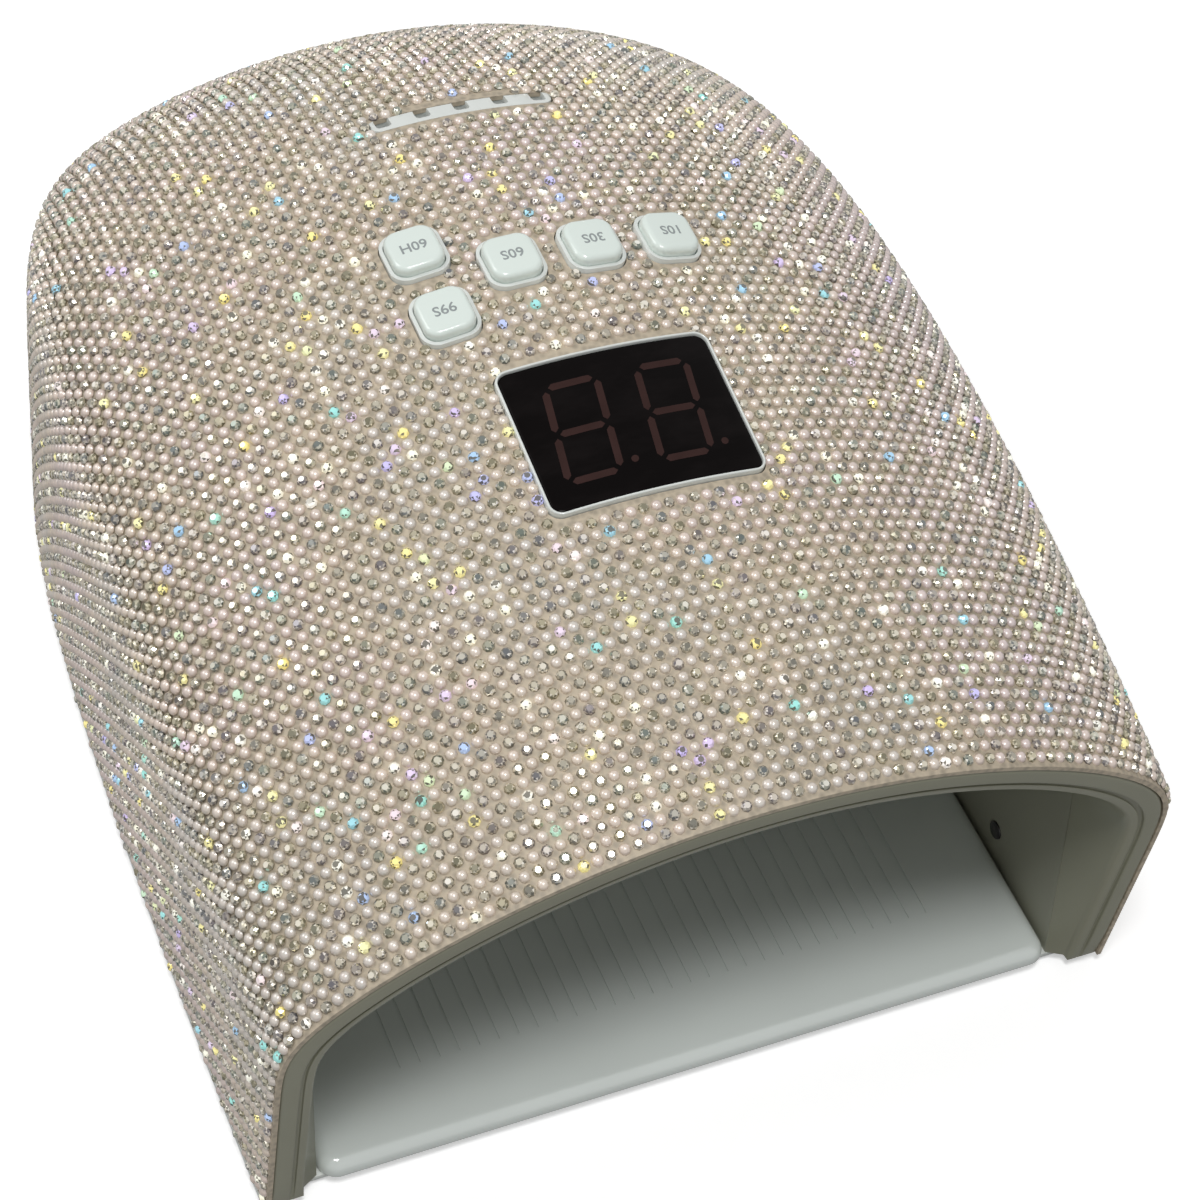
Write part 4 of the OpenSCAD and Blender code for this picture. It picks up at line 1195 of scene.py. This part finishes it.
class LAMP_OT_backing(LampOperator):
    """Makes the smooth sheet that the stones are glued to"""
    bl_idname = "lamp.backing"
    bl_label = "Backing sheet"

    def build(self, sizes, stones, colours):
        dome = Dome(sizes)
        sheet = skin_solid("stone_backing", dome, stones.height + 0.1 * MM, sizes.sheet - 0.02 * MM)
        carved(sheet, opening_cutters(dome))
        keep(smoothed(sheet, 40), HOUSING, "crystal", nodes=["crystal_sheet"])


class LAMP_OT_stones(LampOperator):
    """Sets the half pearls and the crystals over the whole housing"""
    bl_idname = "lamp.stones"
    bl_label = "Stones"
    SUNK, STANDS = 0.13 * MM, 0.03 * MM

    def build(self, sizes, stones, colours):
        dome = Dome(sizes)
        spots, kinds = StoneField(dome, stones).clear()
        facing = dome.facing(spots)
        base = spots - facing * (stones.height + self.SUNK)
        tall = stones.height + self.STANDS
        shapes = (pearl_shape(stones.pearl, tall), crystal_shape(stones.crystal, tall))
        bands = np.searchsorted(np.quantile(spots[:, 1], (1 / 3, 2 / 3)), spots[:, 1])
        for kind, (label, finish) in enumerate((("pearls", "pearl"), ("crystals", "cut_crystal"))):
            for band, part in enumerate(("front", "middle", "rear")):
                mask = (bands == band) & (kinds == kind)
                piece = set_shapes(f"{label}_{part}", base[mask], facing[mask], shapes[kind],
                                   finish, stones.spread, stones.tilt, math.pi,
                                   stones.seed + int(mask.sum()))
                keep(piece, HOUSING, "crystal", finish)
        for shape in shapes:
            bpy.data.objects.remove(shape)


class LAMP_OT_rim(LampOperator):
    """Makes the stepped rim round the opening"""
    bl_idname = "lamp.rim"
    bl_label = "Front rim"

    def build(self, sizes, stones, colours):
        dome = Dome(sizes)
        lip, cavity, groove, deep = 9.6, sizes.cavity_in / MM, 1.0, sizes.mouth / MM
        # depth under the stones and distance from the front, in millimetres
        corners = [(2.8, 0), (lip - 3.4, 0), (lip - 3.4, groove), (lip - 2.4, groove),
                   (lip - 2.4, 0.4), (lip - 0.6, 0.8), (lip, 2), (cavity, deep),
                   (cavity - 1.8, deep), (lip - 1.8, 3), (2.2, 3), (2.2, 0.6)]
        corners = [(depth * MM, back * MM) for depth, back in corners]
        rim = swept("stepped_rim", dome, filleted(corners, 0.5 * MM), fine_turns(dome, 6 * MM))
        self.slant(rim, dome)
        keep(smoothed(rim, 50), HOUSING, "rim_grey", nodes=["front_rim"])

    @staticmethod
    def slant(rim, dome):
        """Shortens the funnel towards the table, where it runs out, and closes the steps there."""
        foot, steps, level = 9 * MM, 2 * MM, 0.9 * MM
        for vert in rim.data.vertices:
            back = vert.co.y - dome.front
            if back < steps:
                share = min(1.0, 0.002 + (vert.co.z - dome.skirt) / foot) ** 0.5
                vert.co.y = dome.front + level + (back - level) * share
            if back > RIM_PLATE:
                share = (back - RIM_PLATE) / (dome.sizes.mouth - RIM_PLATE)
                vert.co.y = dome.front + RIM_PLATE + share * (dome.funnel(vert.co.z) - RIM_PLATE)


class LAMP_OT_key_caps(LampOperator):
    """Makes the timer keys with their printed times"""
    bl_idname = "lamp.key_caps"
    bl_label = "Keys"
    FULLER, CORNER, EDGE = 0.16 * MM, 3.25 * MM, 1.25 * MM
    SKIRT, STEM_R, STEM_DEEPEST, STEM_FREE = 6.4 * MM, 2 * MM, 16 * MM, 0.95 * MM
    LETTERS, PRINT = 3.45 * MM, 0.02 * MM

    def build(self, sizes, stones, colours):
        dome = Dome(sizes)
        for node, legend, spot in zip(KEY_NODES, KEY_LEGENDS, dome.key_spots()):
            place = dome.place(*spot)
            self.cap(node, place, sizes)
            self.legend(node, legend, place, sizes)

    def cap(self, node, place, sizes):
        """A cap on its stem, which ends short of the switch so that the key can sink."""
        bm = bmesh.new()
        rounded_block(bm, sizes.key_w + self.FULLER, sizes.key_l + self.FULLER, self.CORNER,
                      -self.SKIRT, sizes.key_up - 0.02 * MM, place, self.EDGE, 8, 7)
        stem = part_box(node)[0].z - place.translation.z
        rod(bm, place, self.STEM_R, max(stem, -self.STEM_DEEPEST) + self.STEM_FREE, -6.3 * MM)
        cap = from_bmesh(node.replace("key", "cap"), bm)
        keep(smoothed(cap, 30), node + "_cap", "key_mint", nodes=[node])

    def legend(self, node, words, place, sizes):
        text = bpy.data.curves.new("legend", "FONT")
        text.body = words
        text.size = self.LETTERS
        text.offset = 0.05 * MM
        text.align_x, text.align_y = "CENTER", "CENTER"
        text.extrude = self.PRINT
        text.resolution_u = 3
        source = add_object("legend_source", text)
        graph = bpy.context.evaluated_depsgraph_get()
        mesh = bpy.data.meshes.new_from_object(source.evaluated_get(graph), depsgraph=graph)
        bpy.data.objects.remove(source)
        turn = Matrix.Rotation(math.pi, 4, "Z")
        mesh.transform(place @ Matrix.Translation((0, 0, sizes.key_up - 0.01 * MM)) @ turn)
        piece = add_object(node.replace("key", "legend"), mesh)
        keep(piece, node + "_cap", "key_mint", "legend")


class LAMP_OT_display(LampOperator):
    """Makes the display window, its surround and the unlit digits"""
    bl_idname = "lamp.display"
    bl_label = "Display"
    STRIP, STRIPS = 1.5 * MM, 17
    LENS_LAP, LENS_CORNER = 0.8 * MM, 2.5 * MM
    HALF_BAR, BAR_THICK, BAR_GAP, SLANT = 5.5 * MM, 1.55 * MM, 0.75 * MM, 0.14
    DOT_R, DOT_ASIDE, DOT_UP = 0.8 * MM, 3.3 * MM, 1.6 * MM
    DIGIT_PLACES = (-10.6 * MM, 9.2 * MM)
    SEGMENTS = ((0, 1, 0), (0, 0, 0), (0, -1, 0), (-1, 0.5, 1), (1, 0.5, 1), (-1, -0.5, 1),
                (1, -0.5, 1))

    def build(self, sizes, stones, colours):
        dome = Dome(sizes)
        y = dome.front + sizes.window_y
        place = dome.place(0, y)
        sag = dome.height(0, y) - dome.height(sizes.window_w / 2, y)
        radius = (sizes.window_w ** 2 / 4 + sag * sag) / (2 * sag)
        self.window(place, radius, sizes)
        self.digits(place, radius)
        self.surround(place, radius, sizes)

    def bend(self, bm, radius, place):
        """Rolls a flat solid onto the roof's curve, once it is cut into strips."""
        for k in range(-self.STRIPS, self.STRIPS + 1):
            bmesh.ops.bisect_plane(bm, geom=bm.verts[:] + bm.edges[:] + bm.faces[:],
                                   plane_co=(k * self.STRIP, 0, 0), plane_no=(1, 0, 0))
        for vert in bm.verts:
            vert.co.z += math.sqrt(radius ** 2 - vert.co.x ** 2) - radius
            vert.co = place @ vert.co

    def window(self, place, radius, sizes):
        bm = bmesh.new()
        rounded_block(bm, sizes.window_w + self.LENS_LAP, sizes.window_l + self.LENS_LAP,
                      self.LENS_CORNER, -2.25 * MM, -0.6 * MM, None, 0.6 * MM, 8, 5)
        self.bend(bm, radius, place)
        keep(smoothed(from_bmesh("tinted_window", bm), 40), HOUSING, "window_black",
             nodes=["display_window"])

    def surround(self, place, radius, sizes):
        """The thin ring between the window and the stones."""
        wide, long = sizes.window_w + 2 * sizes.border, sizes.window_l + 2 * sizes.border
        wall = sizes.border - 0.45 * MM
        bm = bmesh.new()
        levels = ((0.0, -2.6), (0.0, -0.4), (0.08, -0.26), (0.2, -0.2), (0.36, -0.2), (0.48, -0.26),
                  (wall / MM, -0.4), (wall / MM, -2.6))
        loops = [[bm.verts.new((x, y, z * MM)) for x, y in rounded_outline(wide, long,
                                                                           WINDOW_CORNER,
                                                                           inset * MM)]
                 for inset, z in levels]
        for low, high in zip(loops, loops[1:] + loops[:1]):
            for i, corner in enumerate(low):
                j = (i + 1) % len(low)
                bm.faces.new((corner, low[j], high[j], high[i]))
        self.bend(bm, radius, place)
        keep(smoothed(from_bmesh("window_surround", bm), 50), HOUSING, "white_shell",
             nodes=["display_bezel"])

    def digits(self, place, radius):
        """Two figures of eight with points, each segment a pointed bar."""
        half, thin, reach = self.HALF_BAR, self.BAR_THICK / 2, self.HALF_BAR - self.BAR_GAP
        bar = [(-reach, 0), (-reach + thin, thin), (reach - thin, thin), (reach, 0),
               (reach - thin, -thin), (-reach + thin, -thin)]
        dot = [(half + self.DOT_ASIDE + self.DOT_R * math.cos(k * math.pi / 8),
                -2 * half + self.DOT_UP + self.DOT_R * math.sin(k * math.pi / 8))
               for k in range(16)]
        bm = bmesh.new()
        for middle in self.DIGIT_PLACES:
            for sx, sy, upright in self.SEGMENTS:
                cx, cy = sx * half, sy * 2 * half
                outline = [(cx + (q if upright else p), cy + (p if upright else q)) for p, q in bar]
                if upright:
                    outline.reverse()
                self.inlay(bm, outline, middle)
            self.inlay(bm, dot, middle)
        self.bend(bm, radius, place)
        keep(from_bmesh("unlit_digits", bm), HOUSING, "window_black", "segment")

    def inlay(self, bm, outline, middle):
        flat = [(middle + x + self.SLANT * y, y) for x, y in outline]
        stack_rings(bm, [[(x, y, z) for x, y in flat] for z in (-0.8 * MM, -0.56 * MM)])


class LAMP_OT_collars(LampOperator):
    """Softens the key carrier, the vent strip and the charging socket"""
    bl_idname = "lamp.collars"
    bl_label = "Collars, vent and socket"

    def build(self, sizes, stones, colours):
        soften("key_collars", "key_carrier", 0.15 * MM, "white_shell")
        self.vent(sizes)
        soften("barrel_socket", "charge_socket", 0.2 * MM, "socket_black")

    @staticmethod
    def vent(sizes):
        """The vent strip, let in under the edge of the sheet that laps over it."""
        dome = Dome(sizes)
        vent = cad_copy("vent_grille", "vent_strip", 0.3 * MM)
        edge = sizes.vent_l / 2 - sizes.vent_cover
        lap = bmesh.new()
        rounded_block(lap, sizes.vent_w + 8 * MM, 8 * MM, 0.1 * MM, -sizes.sheet - 0.1 * MM, 5 * MM,
                      dome.place(0, dome.front + sizes.vent_y)
                      @ Matrix.Translation((0, edge + 4.1 * MM, 0)))
        keep(carved(vent, from_bmesh("lap", lap)), HOUSING, "white_shell", nodes=["vent_strip"])


class LAMP_OT_tray(LampOperator):
    """Makes the slide-out floor tray with its rolled lip and fine ribs"""
    bl_idname = "lamp.tray"
    bl_label = "Floor tray"
    CORNER, ROLL = 4.5 * MM, 3.2 * MM
    GROOVES_A_SIDE, GROOVE_PITCH, GROOVE_W, GROOVE_DEEP = 14, 4.5 * MM, 0.6 * MM, 0.3 * MM
    PLAIN_ENDS, GROOVES_BACK = 28 * MM, 4 * MM

    def build(self, sizes, stones, colours):
        low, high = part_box("base_tray")
        width, depth = high.x - low.x, high.y - low.y
        middle = Matrix.Translation(((low.x + high.x) / 2, (low.y + high.y) / 2, 0))
        bm = bmesh.new()
        levels = [(0.5 * MM, low.z), (0.15 * MM, low.z + 0.15 * MM), (0.0, low.z + 0.5 * MM)]
        for k in range(9):
            turn = math.pi / 2 * k / 8
            levels.append((self.ROLL * (1 - math.cos(turn)), high.z - self.ROLL
                           + self.ROLL * math.sin(turn)))
        rings = [[(x, y, z) for x, y in rounded_outline(width, depth, self.CORNER, inset, 12)]
                 for inset, z in levels]
        stack_rings(bm, rings, middle)
        tray = from_bmesh("ribbed_tray", bm)
        bar = bmesh.new()
        rounded_block(bar, self.GROOVE_W, depth - self.PLAIN_ENDS, 0.29 * MM, -self.GROOVE_DEEP,
                      1 * MM, None, 0, 3)
        bar = from_bmesh("groove", bar)
        places = [(k * self.GROOVE_PITCH, (low.y + high.y) / 2 + self.GROOVES_BACK, high.z)
                  for k in range(-self.GROOVES_A_SIDE, self.GROOVES_A_SIDE + 1)]
        carved(tray, set_shapes("groove_cutters", places, [(0, 0, 1)] * len(places), bar,
                                "tray_white"))
        bpy.data.objects.remove(bar)
        keep(smoothed(tray, 40), "tray", "tray_white", nodes=["base_tray"])


class LAMP_OT_base(LampOperator):
    """Softens the base frame and makes the feet and the screws under it"""
    bl_idname = "lamp.base"
    bl_label = "Base, feet and screws"

    def build(self, sizes, stones, colours):
        soften("soft_frame", "base_frame", 0.25 * MM, "frame_white")
        self.feet()
        self.screws()

    @staticmethod
    def feet():
        boxes = part_boxes("rubber_feet")
        radius, tall = boxes[0][1][0], 2 * boxes[0][1][2]
        edge, dimple = 0.5 * MM, 0.25 * MM
        foot = turned("foot", [(0, 0), (radius, 0), *arc(edge, radius - edge, tall - edge, 0, 90),
                               (radius * 0.6, tall), (radius * 0.5, tall - dimple),
                               (0, tall - dimple)], 40)
        places = [(m[0], m[1], tall) for m, _ in boxes]
        piece = set_shapes("foot_pads", places, [(0, 0, -1)] * len(places), foot, "foot_rubber")
        bpy.data.objects.remove(foot)
        keep(piece, HOUSING, "foot_rubber", nodes=["rubber_feet"])

    @staticmethod
    def screws():
        boxes = part_boxes("base_screws")
        middle, half = boxes[0]
        radius, low, high = half[0], middle[2] - half[2], middle[2] + half[2]
        head, edge, shank, reach = 0.9 * MM, 0.4 * MM, 1.25 * MM, high - low
        screw = turned("screw", [(0, -reach), (shank * 0.4, -reach), (shank, -reach + 1 * MM),
                                 (shank, -head), (radius, -head),
                                 *arc(edge, radius - edge, -edge, 0, 90), (0, 0)], 24)
        for turn in (0, math.pi / 2):
            arm = bmesh.new()
            rounded_block(arm, 2.8 * MM, 0.6 * MM, 0.1 * MM, -0.6 * MM, 0.3 * MM,
                          Matrix.Rotation(turn, 4, "Z"), 0, 2)
            carved(screw, from_bmesh("arm", arm))
        places = [(m[0], m[1], low) for m, _ in boxes]
        piece = set_shapes("cross_screws", places, [(0, 0, -1)] * len(places), smoothed(screw, 30),
                           "steel", spin=math.pi, seed=3)
        bpy.data.objects.remove(screw)
        keep(piece, HOUSING, "steel", nodes=["base_screws"])


class LAMP_OT_cavity(LampOperator):
    """Makes the smooth reflector of the cavity, its lens holes and the lenses in them"""
    bl_idname = "lamp.cavity"
    bl_label = "Cavity"
    LENS_R, LENS_EDGE, LENS_SUNK = 2.4 * MM, 0.7 * MM, 0.15 * MM
    HOLE_R = LENS_R + 0.12 * MM
    EYE_R = 2.3 * MM

    def build(self, sizes, stones, colours):
        dome = Dome(sizes)
        shoulder = arc(self.LENS_EDGE, self.LENS_R - self.LENS_EDGE, 2.1 * MM, 0, 45, 3)
        lens = turned("lens", [(0, 0), (self.LENS_R, 0), *shoulder, (1.2 * MM, 2.9 * MM),
                               (0.6 * MM, 3.05 * MM), (0, 3.08 * MM)])
        spots, inward = [], []
        for row in ("front", "middle", "rear"):
            feet, normals = self.hoop(dome, f"led_beads_{row}")
            piece = set_shapes(f"lenses_{row}", feet, normals, lens, "led_lens")
            keep(piece, HOUSING, "led_lens", nodes=[f"led_beads_{row}"])
            spots += feet
            inward += normals
        wall = [(middle[0], dome.front + sizes.cavity + sizes.liner - self.LENS_SUNK, middle[2])
                for middle, _ in part_boxes("rear_led_beads")]
        back = [(0, -1, 0)] * len(wall)
        keep(set_shapes("lenses_wall", wall, back, lens, "led_lens"), HOUSING, "led_lens",
             nodes=["rear_led_beads"])
        bpy.data.objects.remove(lens)
        self.reflector(dome, spots + wall, inward + back)
        soften("sensor_eye", "sensor_window", 0.2 * MM, "sensor_dark")

    def hoop(self, dome, node):
        """Feet and inward normals of the lenses of one hoop."""
        depth = dome.sizes.cavity_in - dome.sizes.liner
        turn = np.linspace(0, math.pi, 6001)
        x, z = dome.arch(0.0, turn, depth)
        feet, normals = [], []
        for middle, _ in part_boxes(node):
            k = int(np.argmin((x - middle[0]) ** 2 + (z - middle[2]) ** 2))
            k = min(max(k, 1), len(turn) - 2)
            along = Vector((x[k + 1] - x[k - 1], 0, z[k + 1] - z[k - 1])).normalized()
            inward = Vector((-along.z, 0, along.x))
            foot = Vector((x[k], middle[1], z[k])) + inward * self.LENS_SUNK
            feet.append(tuple(foot))
            normals.append(tuple(inward))
        return feet, normals

    def reflector(self, dome, spots, inward):
        sizes = dome.sizes
        outer, inner = sizes.cavity_in - sizes.liner, sizes.cavity_in
        turn = fine_turns(dome, inner)
        band = swept("reflector", dome, [(outer, RIM_PLATE), (inner, RIM_PLATE),
                                         (inner, sizes.cavity), (outer, sizes.cavity)], turn)
        for vert in band.data.vertices:
            if vert.co.y < dome.front + 2 * RIM_PLATE:
                vert.co.y = dome.front + dome.funnel(vert.co.z)
        x, z = dome.arch(0.0, turn, outer)
        bm = bmesh.new()
        bm.from_mesh(band.data)
        stack_rings(bm, [[(px, dome.front + y, pz) for px, pz in zip(x, z)][::-1]
                         for y in (sizes.cavity + 0.002 * MM, sizes.cavity + sizes.liner)])
        bm.to_mesh(band.data)
        bm.free()
        self.drill(band, spots, inward, self.HOLE_R, 20)
        low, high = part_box("sensor_window")
        self.drill(band, [(low.x, (low.y + high.y) / 2, (low.z + high.z) / 2)], [(1, 0, 0)],
                   self.EYE_R, 32)
        keep(smoothed(band, 0.8), HOUSING, "liner_white", nodes=["inner_liner"])

    @staticmethod
    def drill(band, spots, inward, radius, sides):
        """Drills a round hole through the reflector at each spot."""
        bit = turned("bit", [(0, -4 * MM), (radius, -4 * MM), (radius, 5 * MM), (0, 5 * MM)], sides)
        carved(band, set_shapes("holes", spots, inward, bit, "led_lens"))
        bpy.data.objects.remove(bit)


# ---------------------------------------------------------------- stage
class LAMP_OT_stage(LampOperator):
    """Sets up the floor, the lights and the camera"""
    bl_idname = "lamp.stage"
    bl_label = "Stage"
    FOCAL = 84.447
    AZIMUTH, ELEVATION, ROLL = -31.4314, 49.6059, 11.3387
    ASIDE, UP, AWAY = 17.709 * MM, -20.688 * MM, 632.818 * MM
    LOOK = (0.0, 0.0, 53.38 * MM)
    SENSOR = 36.0
    FLOOR_REACH, FLOOR_BOUNCE, FLOOR_GLOW, FAR_GLOW = 6.0, 0.55, 0.42, 0.6
    FILL = 0.30
    LAMPS = (("key", (-0.18, -0.34, 1.15), 0.3, 6.2), ("rear", (-0.75, 0.45, 0.85), 0.5, 3.2))

    def build(self, sizes, stones, colours):
        self.floor()
        self.lights()
        self.camera()
        bpy.context.scene.view_settings.view_transform = "Standard"

    def floor(self):
        """A plain floor that keeps the shadow, looks white and throws less light back."""
        reach = self.FLOOR_REACH
        plane = from_lists("floor", [(-reach, -reach, 0), (reach, -reach, 0), (reach, reach, 0),
                                     (-reach, reach, 0)], [(0, 1, 2, 3)])
        sheet = Finish("studio_floor")
        seen = sheet.node("ShaderNodeLightPath", output="Is Camera Ray")
        cloud = sheet.noise(2.0, 2.0)
        pale = sheet.mix(cloud, (0.90, 0.90, 0.90), (0.93, 0.93, 0.93))
        base = sheet.mix(seen, (self.FLOOR_BOUNCE,) * 3, pale)
        matt = sheet.node("ShaderNodeBsdfPrincipled", None,
                          {"Base Color": base, "Roughness": 0.9, "Specular IOR Level": 0.1})
        away = sheet.node("ShaderNodeVectorMath", {"operation": "LENGTH"}, {0: sheet.here}, "Value")
        far = sheet.ramp(away * 0.5, [(0.15, 0.0), (0.6, 1.0)])
        glow = sheet.node("ShaderNodeEmission", None,
                          {"Color": (1, 1, 1), "Strength": far * self.FAR_GLOW + self.FLOOR_GLOW})
        lifted = sheet.node("ShaderNodeAddShader", None, {0: matt, 1: glow})
        shown = sheet.node("ShaderNodeMixShader", None, {0: seen, 1: matt, 2: lifted})
        sheet.node("ShaderNodeOutputMaterial", None, {"Surface": shown})
        plane.data.materials.append(sheet.material)

    def lights(self):
        """A surround that looks white and lights dimly, and two area lamps."""
        world = bpy.data.worlds.new("studio")
        bpy.context.scene.world = world
        world.use_nodes = True
        sheet = NodeSheet(world.node_tree)
        rays = ("Is Camera Ray", "Is Glossy Ray", "Is Transmission Ray")
        path = [sheet.node("ShaderNodeLightPath", output=name) for name in rays]
        seen = sheet.math("MINIMUM", path[0] + path[1] + path[2], 1.0)
        dim = sheet.node("ShaderNodeBackground", None, {"Color": (1, 1, 1), "Strength": self.FILL})
        white = sheet.node("ShaderNodeBackground", None, {"Color": (1, 1, 1), "Strength": 1.0})
        shown = sheet.node("ShaderNodeMixShader", None, {0: seen, 1: dim, 2: white})
        sheet.node("ShaderNodeOutputWorld", None, {"Surface": shown})
        for name, spot, size, power in self.LAMPS:
            lamp = bpy.data.lights.new(name, "AREA")
            lamp.size = size
            lamp.energy = power
            holder = add_object(name, lamp)
            holder.location = spot
            holder.rotation_euler = Vector(spot).to_track_quat("Z", "Y").to_euler()

    def camera(self):
        angles = (self.AZIMUTH, self.ELEVATION, self.ROLL)
        azimuth, elevation, roll = (math.radians(angle) for angle in angles)
        flat = math.cos(elevation)
        back = Vector((math.sin(azimuth) * flat, -math.cos(azimuth) * flat, math.sin(elevation)))
        right = (-back).cross(Vector((0, 0, 1))).normalized()
        up = right.cross(-back)
        rolled_right = right * math.cos(roll) + up * math.sin(roll)
        rolled_up = -right * math.sin(roll) + up * math.cos(roll)
        data = bpy.data.cameras.new("camera")
        data.lens = self.FOCAL
        data.sensor_width = self.SENSOR
        data.clip_start = 0.01
        holder = add_object("camera", data)
        spot = Matrix((rolled_right, rolled_up, back)).transposed().to_4x4()
        aside = back * self.AWAY + rolled_right * self.ASIDE + rolled_up * self.UP
        spot.translation = Vector(self.LOOK) + aside
        holder.matrix_world = spot
        bpy.context.scene.camera = holder


class LAMP_PT_panel(bpy.types.Panel):
    """Lists the lamp's sizes, colours and build steps"""
    bl_idname = "LAMP_PT_panel"
    bl_label = "Nail Lamp"
    bl_space_type = "VIEW_3D"
    bl_region_type = "UI"
    bl_category = "Nail Lamp"

    def draw(self, context):
        for group in (context.scene.lamp_housing, context.scene.lamp_stones,
                      context.scene.lamp_colours):
            box = self.layout.box()
            for name in group.bl_rna.properties.keys():
                if name not in ("rna_type", "name"):
                    box.prop(group, name)
        for step in STEPS:
            self.layout.operator(step.bl_idname)


STEPS = (LAMP_OT_finishes, LAMP_OT_backing, LAMP_OT_stones, LAMP_OT_rim, LAMP_OT_cavity,
         LAMP_OT_display, LAMP_OT_key_caps, LAMP_OT_collars, LAMP_OT_tray, LAMP_OT_base,
         LAMP_OT_stage)
GROUPS = {"lamp_housing": HousingSizes, "lamp_stones": StoneSizes, "lamp_colours": LampColours}


def register():
    for group in GROUPS.values():
        bpy.utils.register_class(group)
    for step in (*STEPS, LAMP_PT_panel):
        bpy.utils.register_class(step)
    for name, group in GROUPS.items():
        setattr(bpy.types.Scene, name, bpy.props.PointerProperty(type=group))


def unregister():
    for name in GROUPS:
        delattr(bpy.types.Scene, name)
    for step in (LAMP_PT_panel, *reversed(STEPS)):
        bpy.utils.unregister_class(step)
    for group in reversed(list(GROUPS.values())):
        bpy.utils.unregister_class(group)


def main():
    register()
    for step in STEPS:
        getattr(bpy.ops.lamp, step.bl_idname.split(".")[1])()


if __name__ == "__main__":
    main()
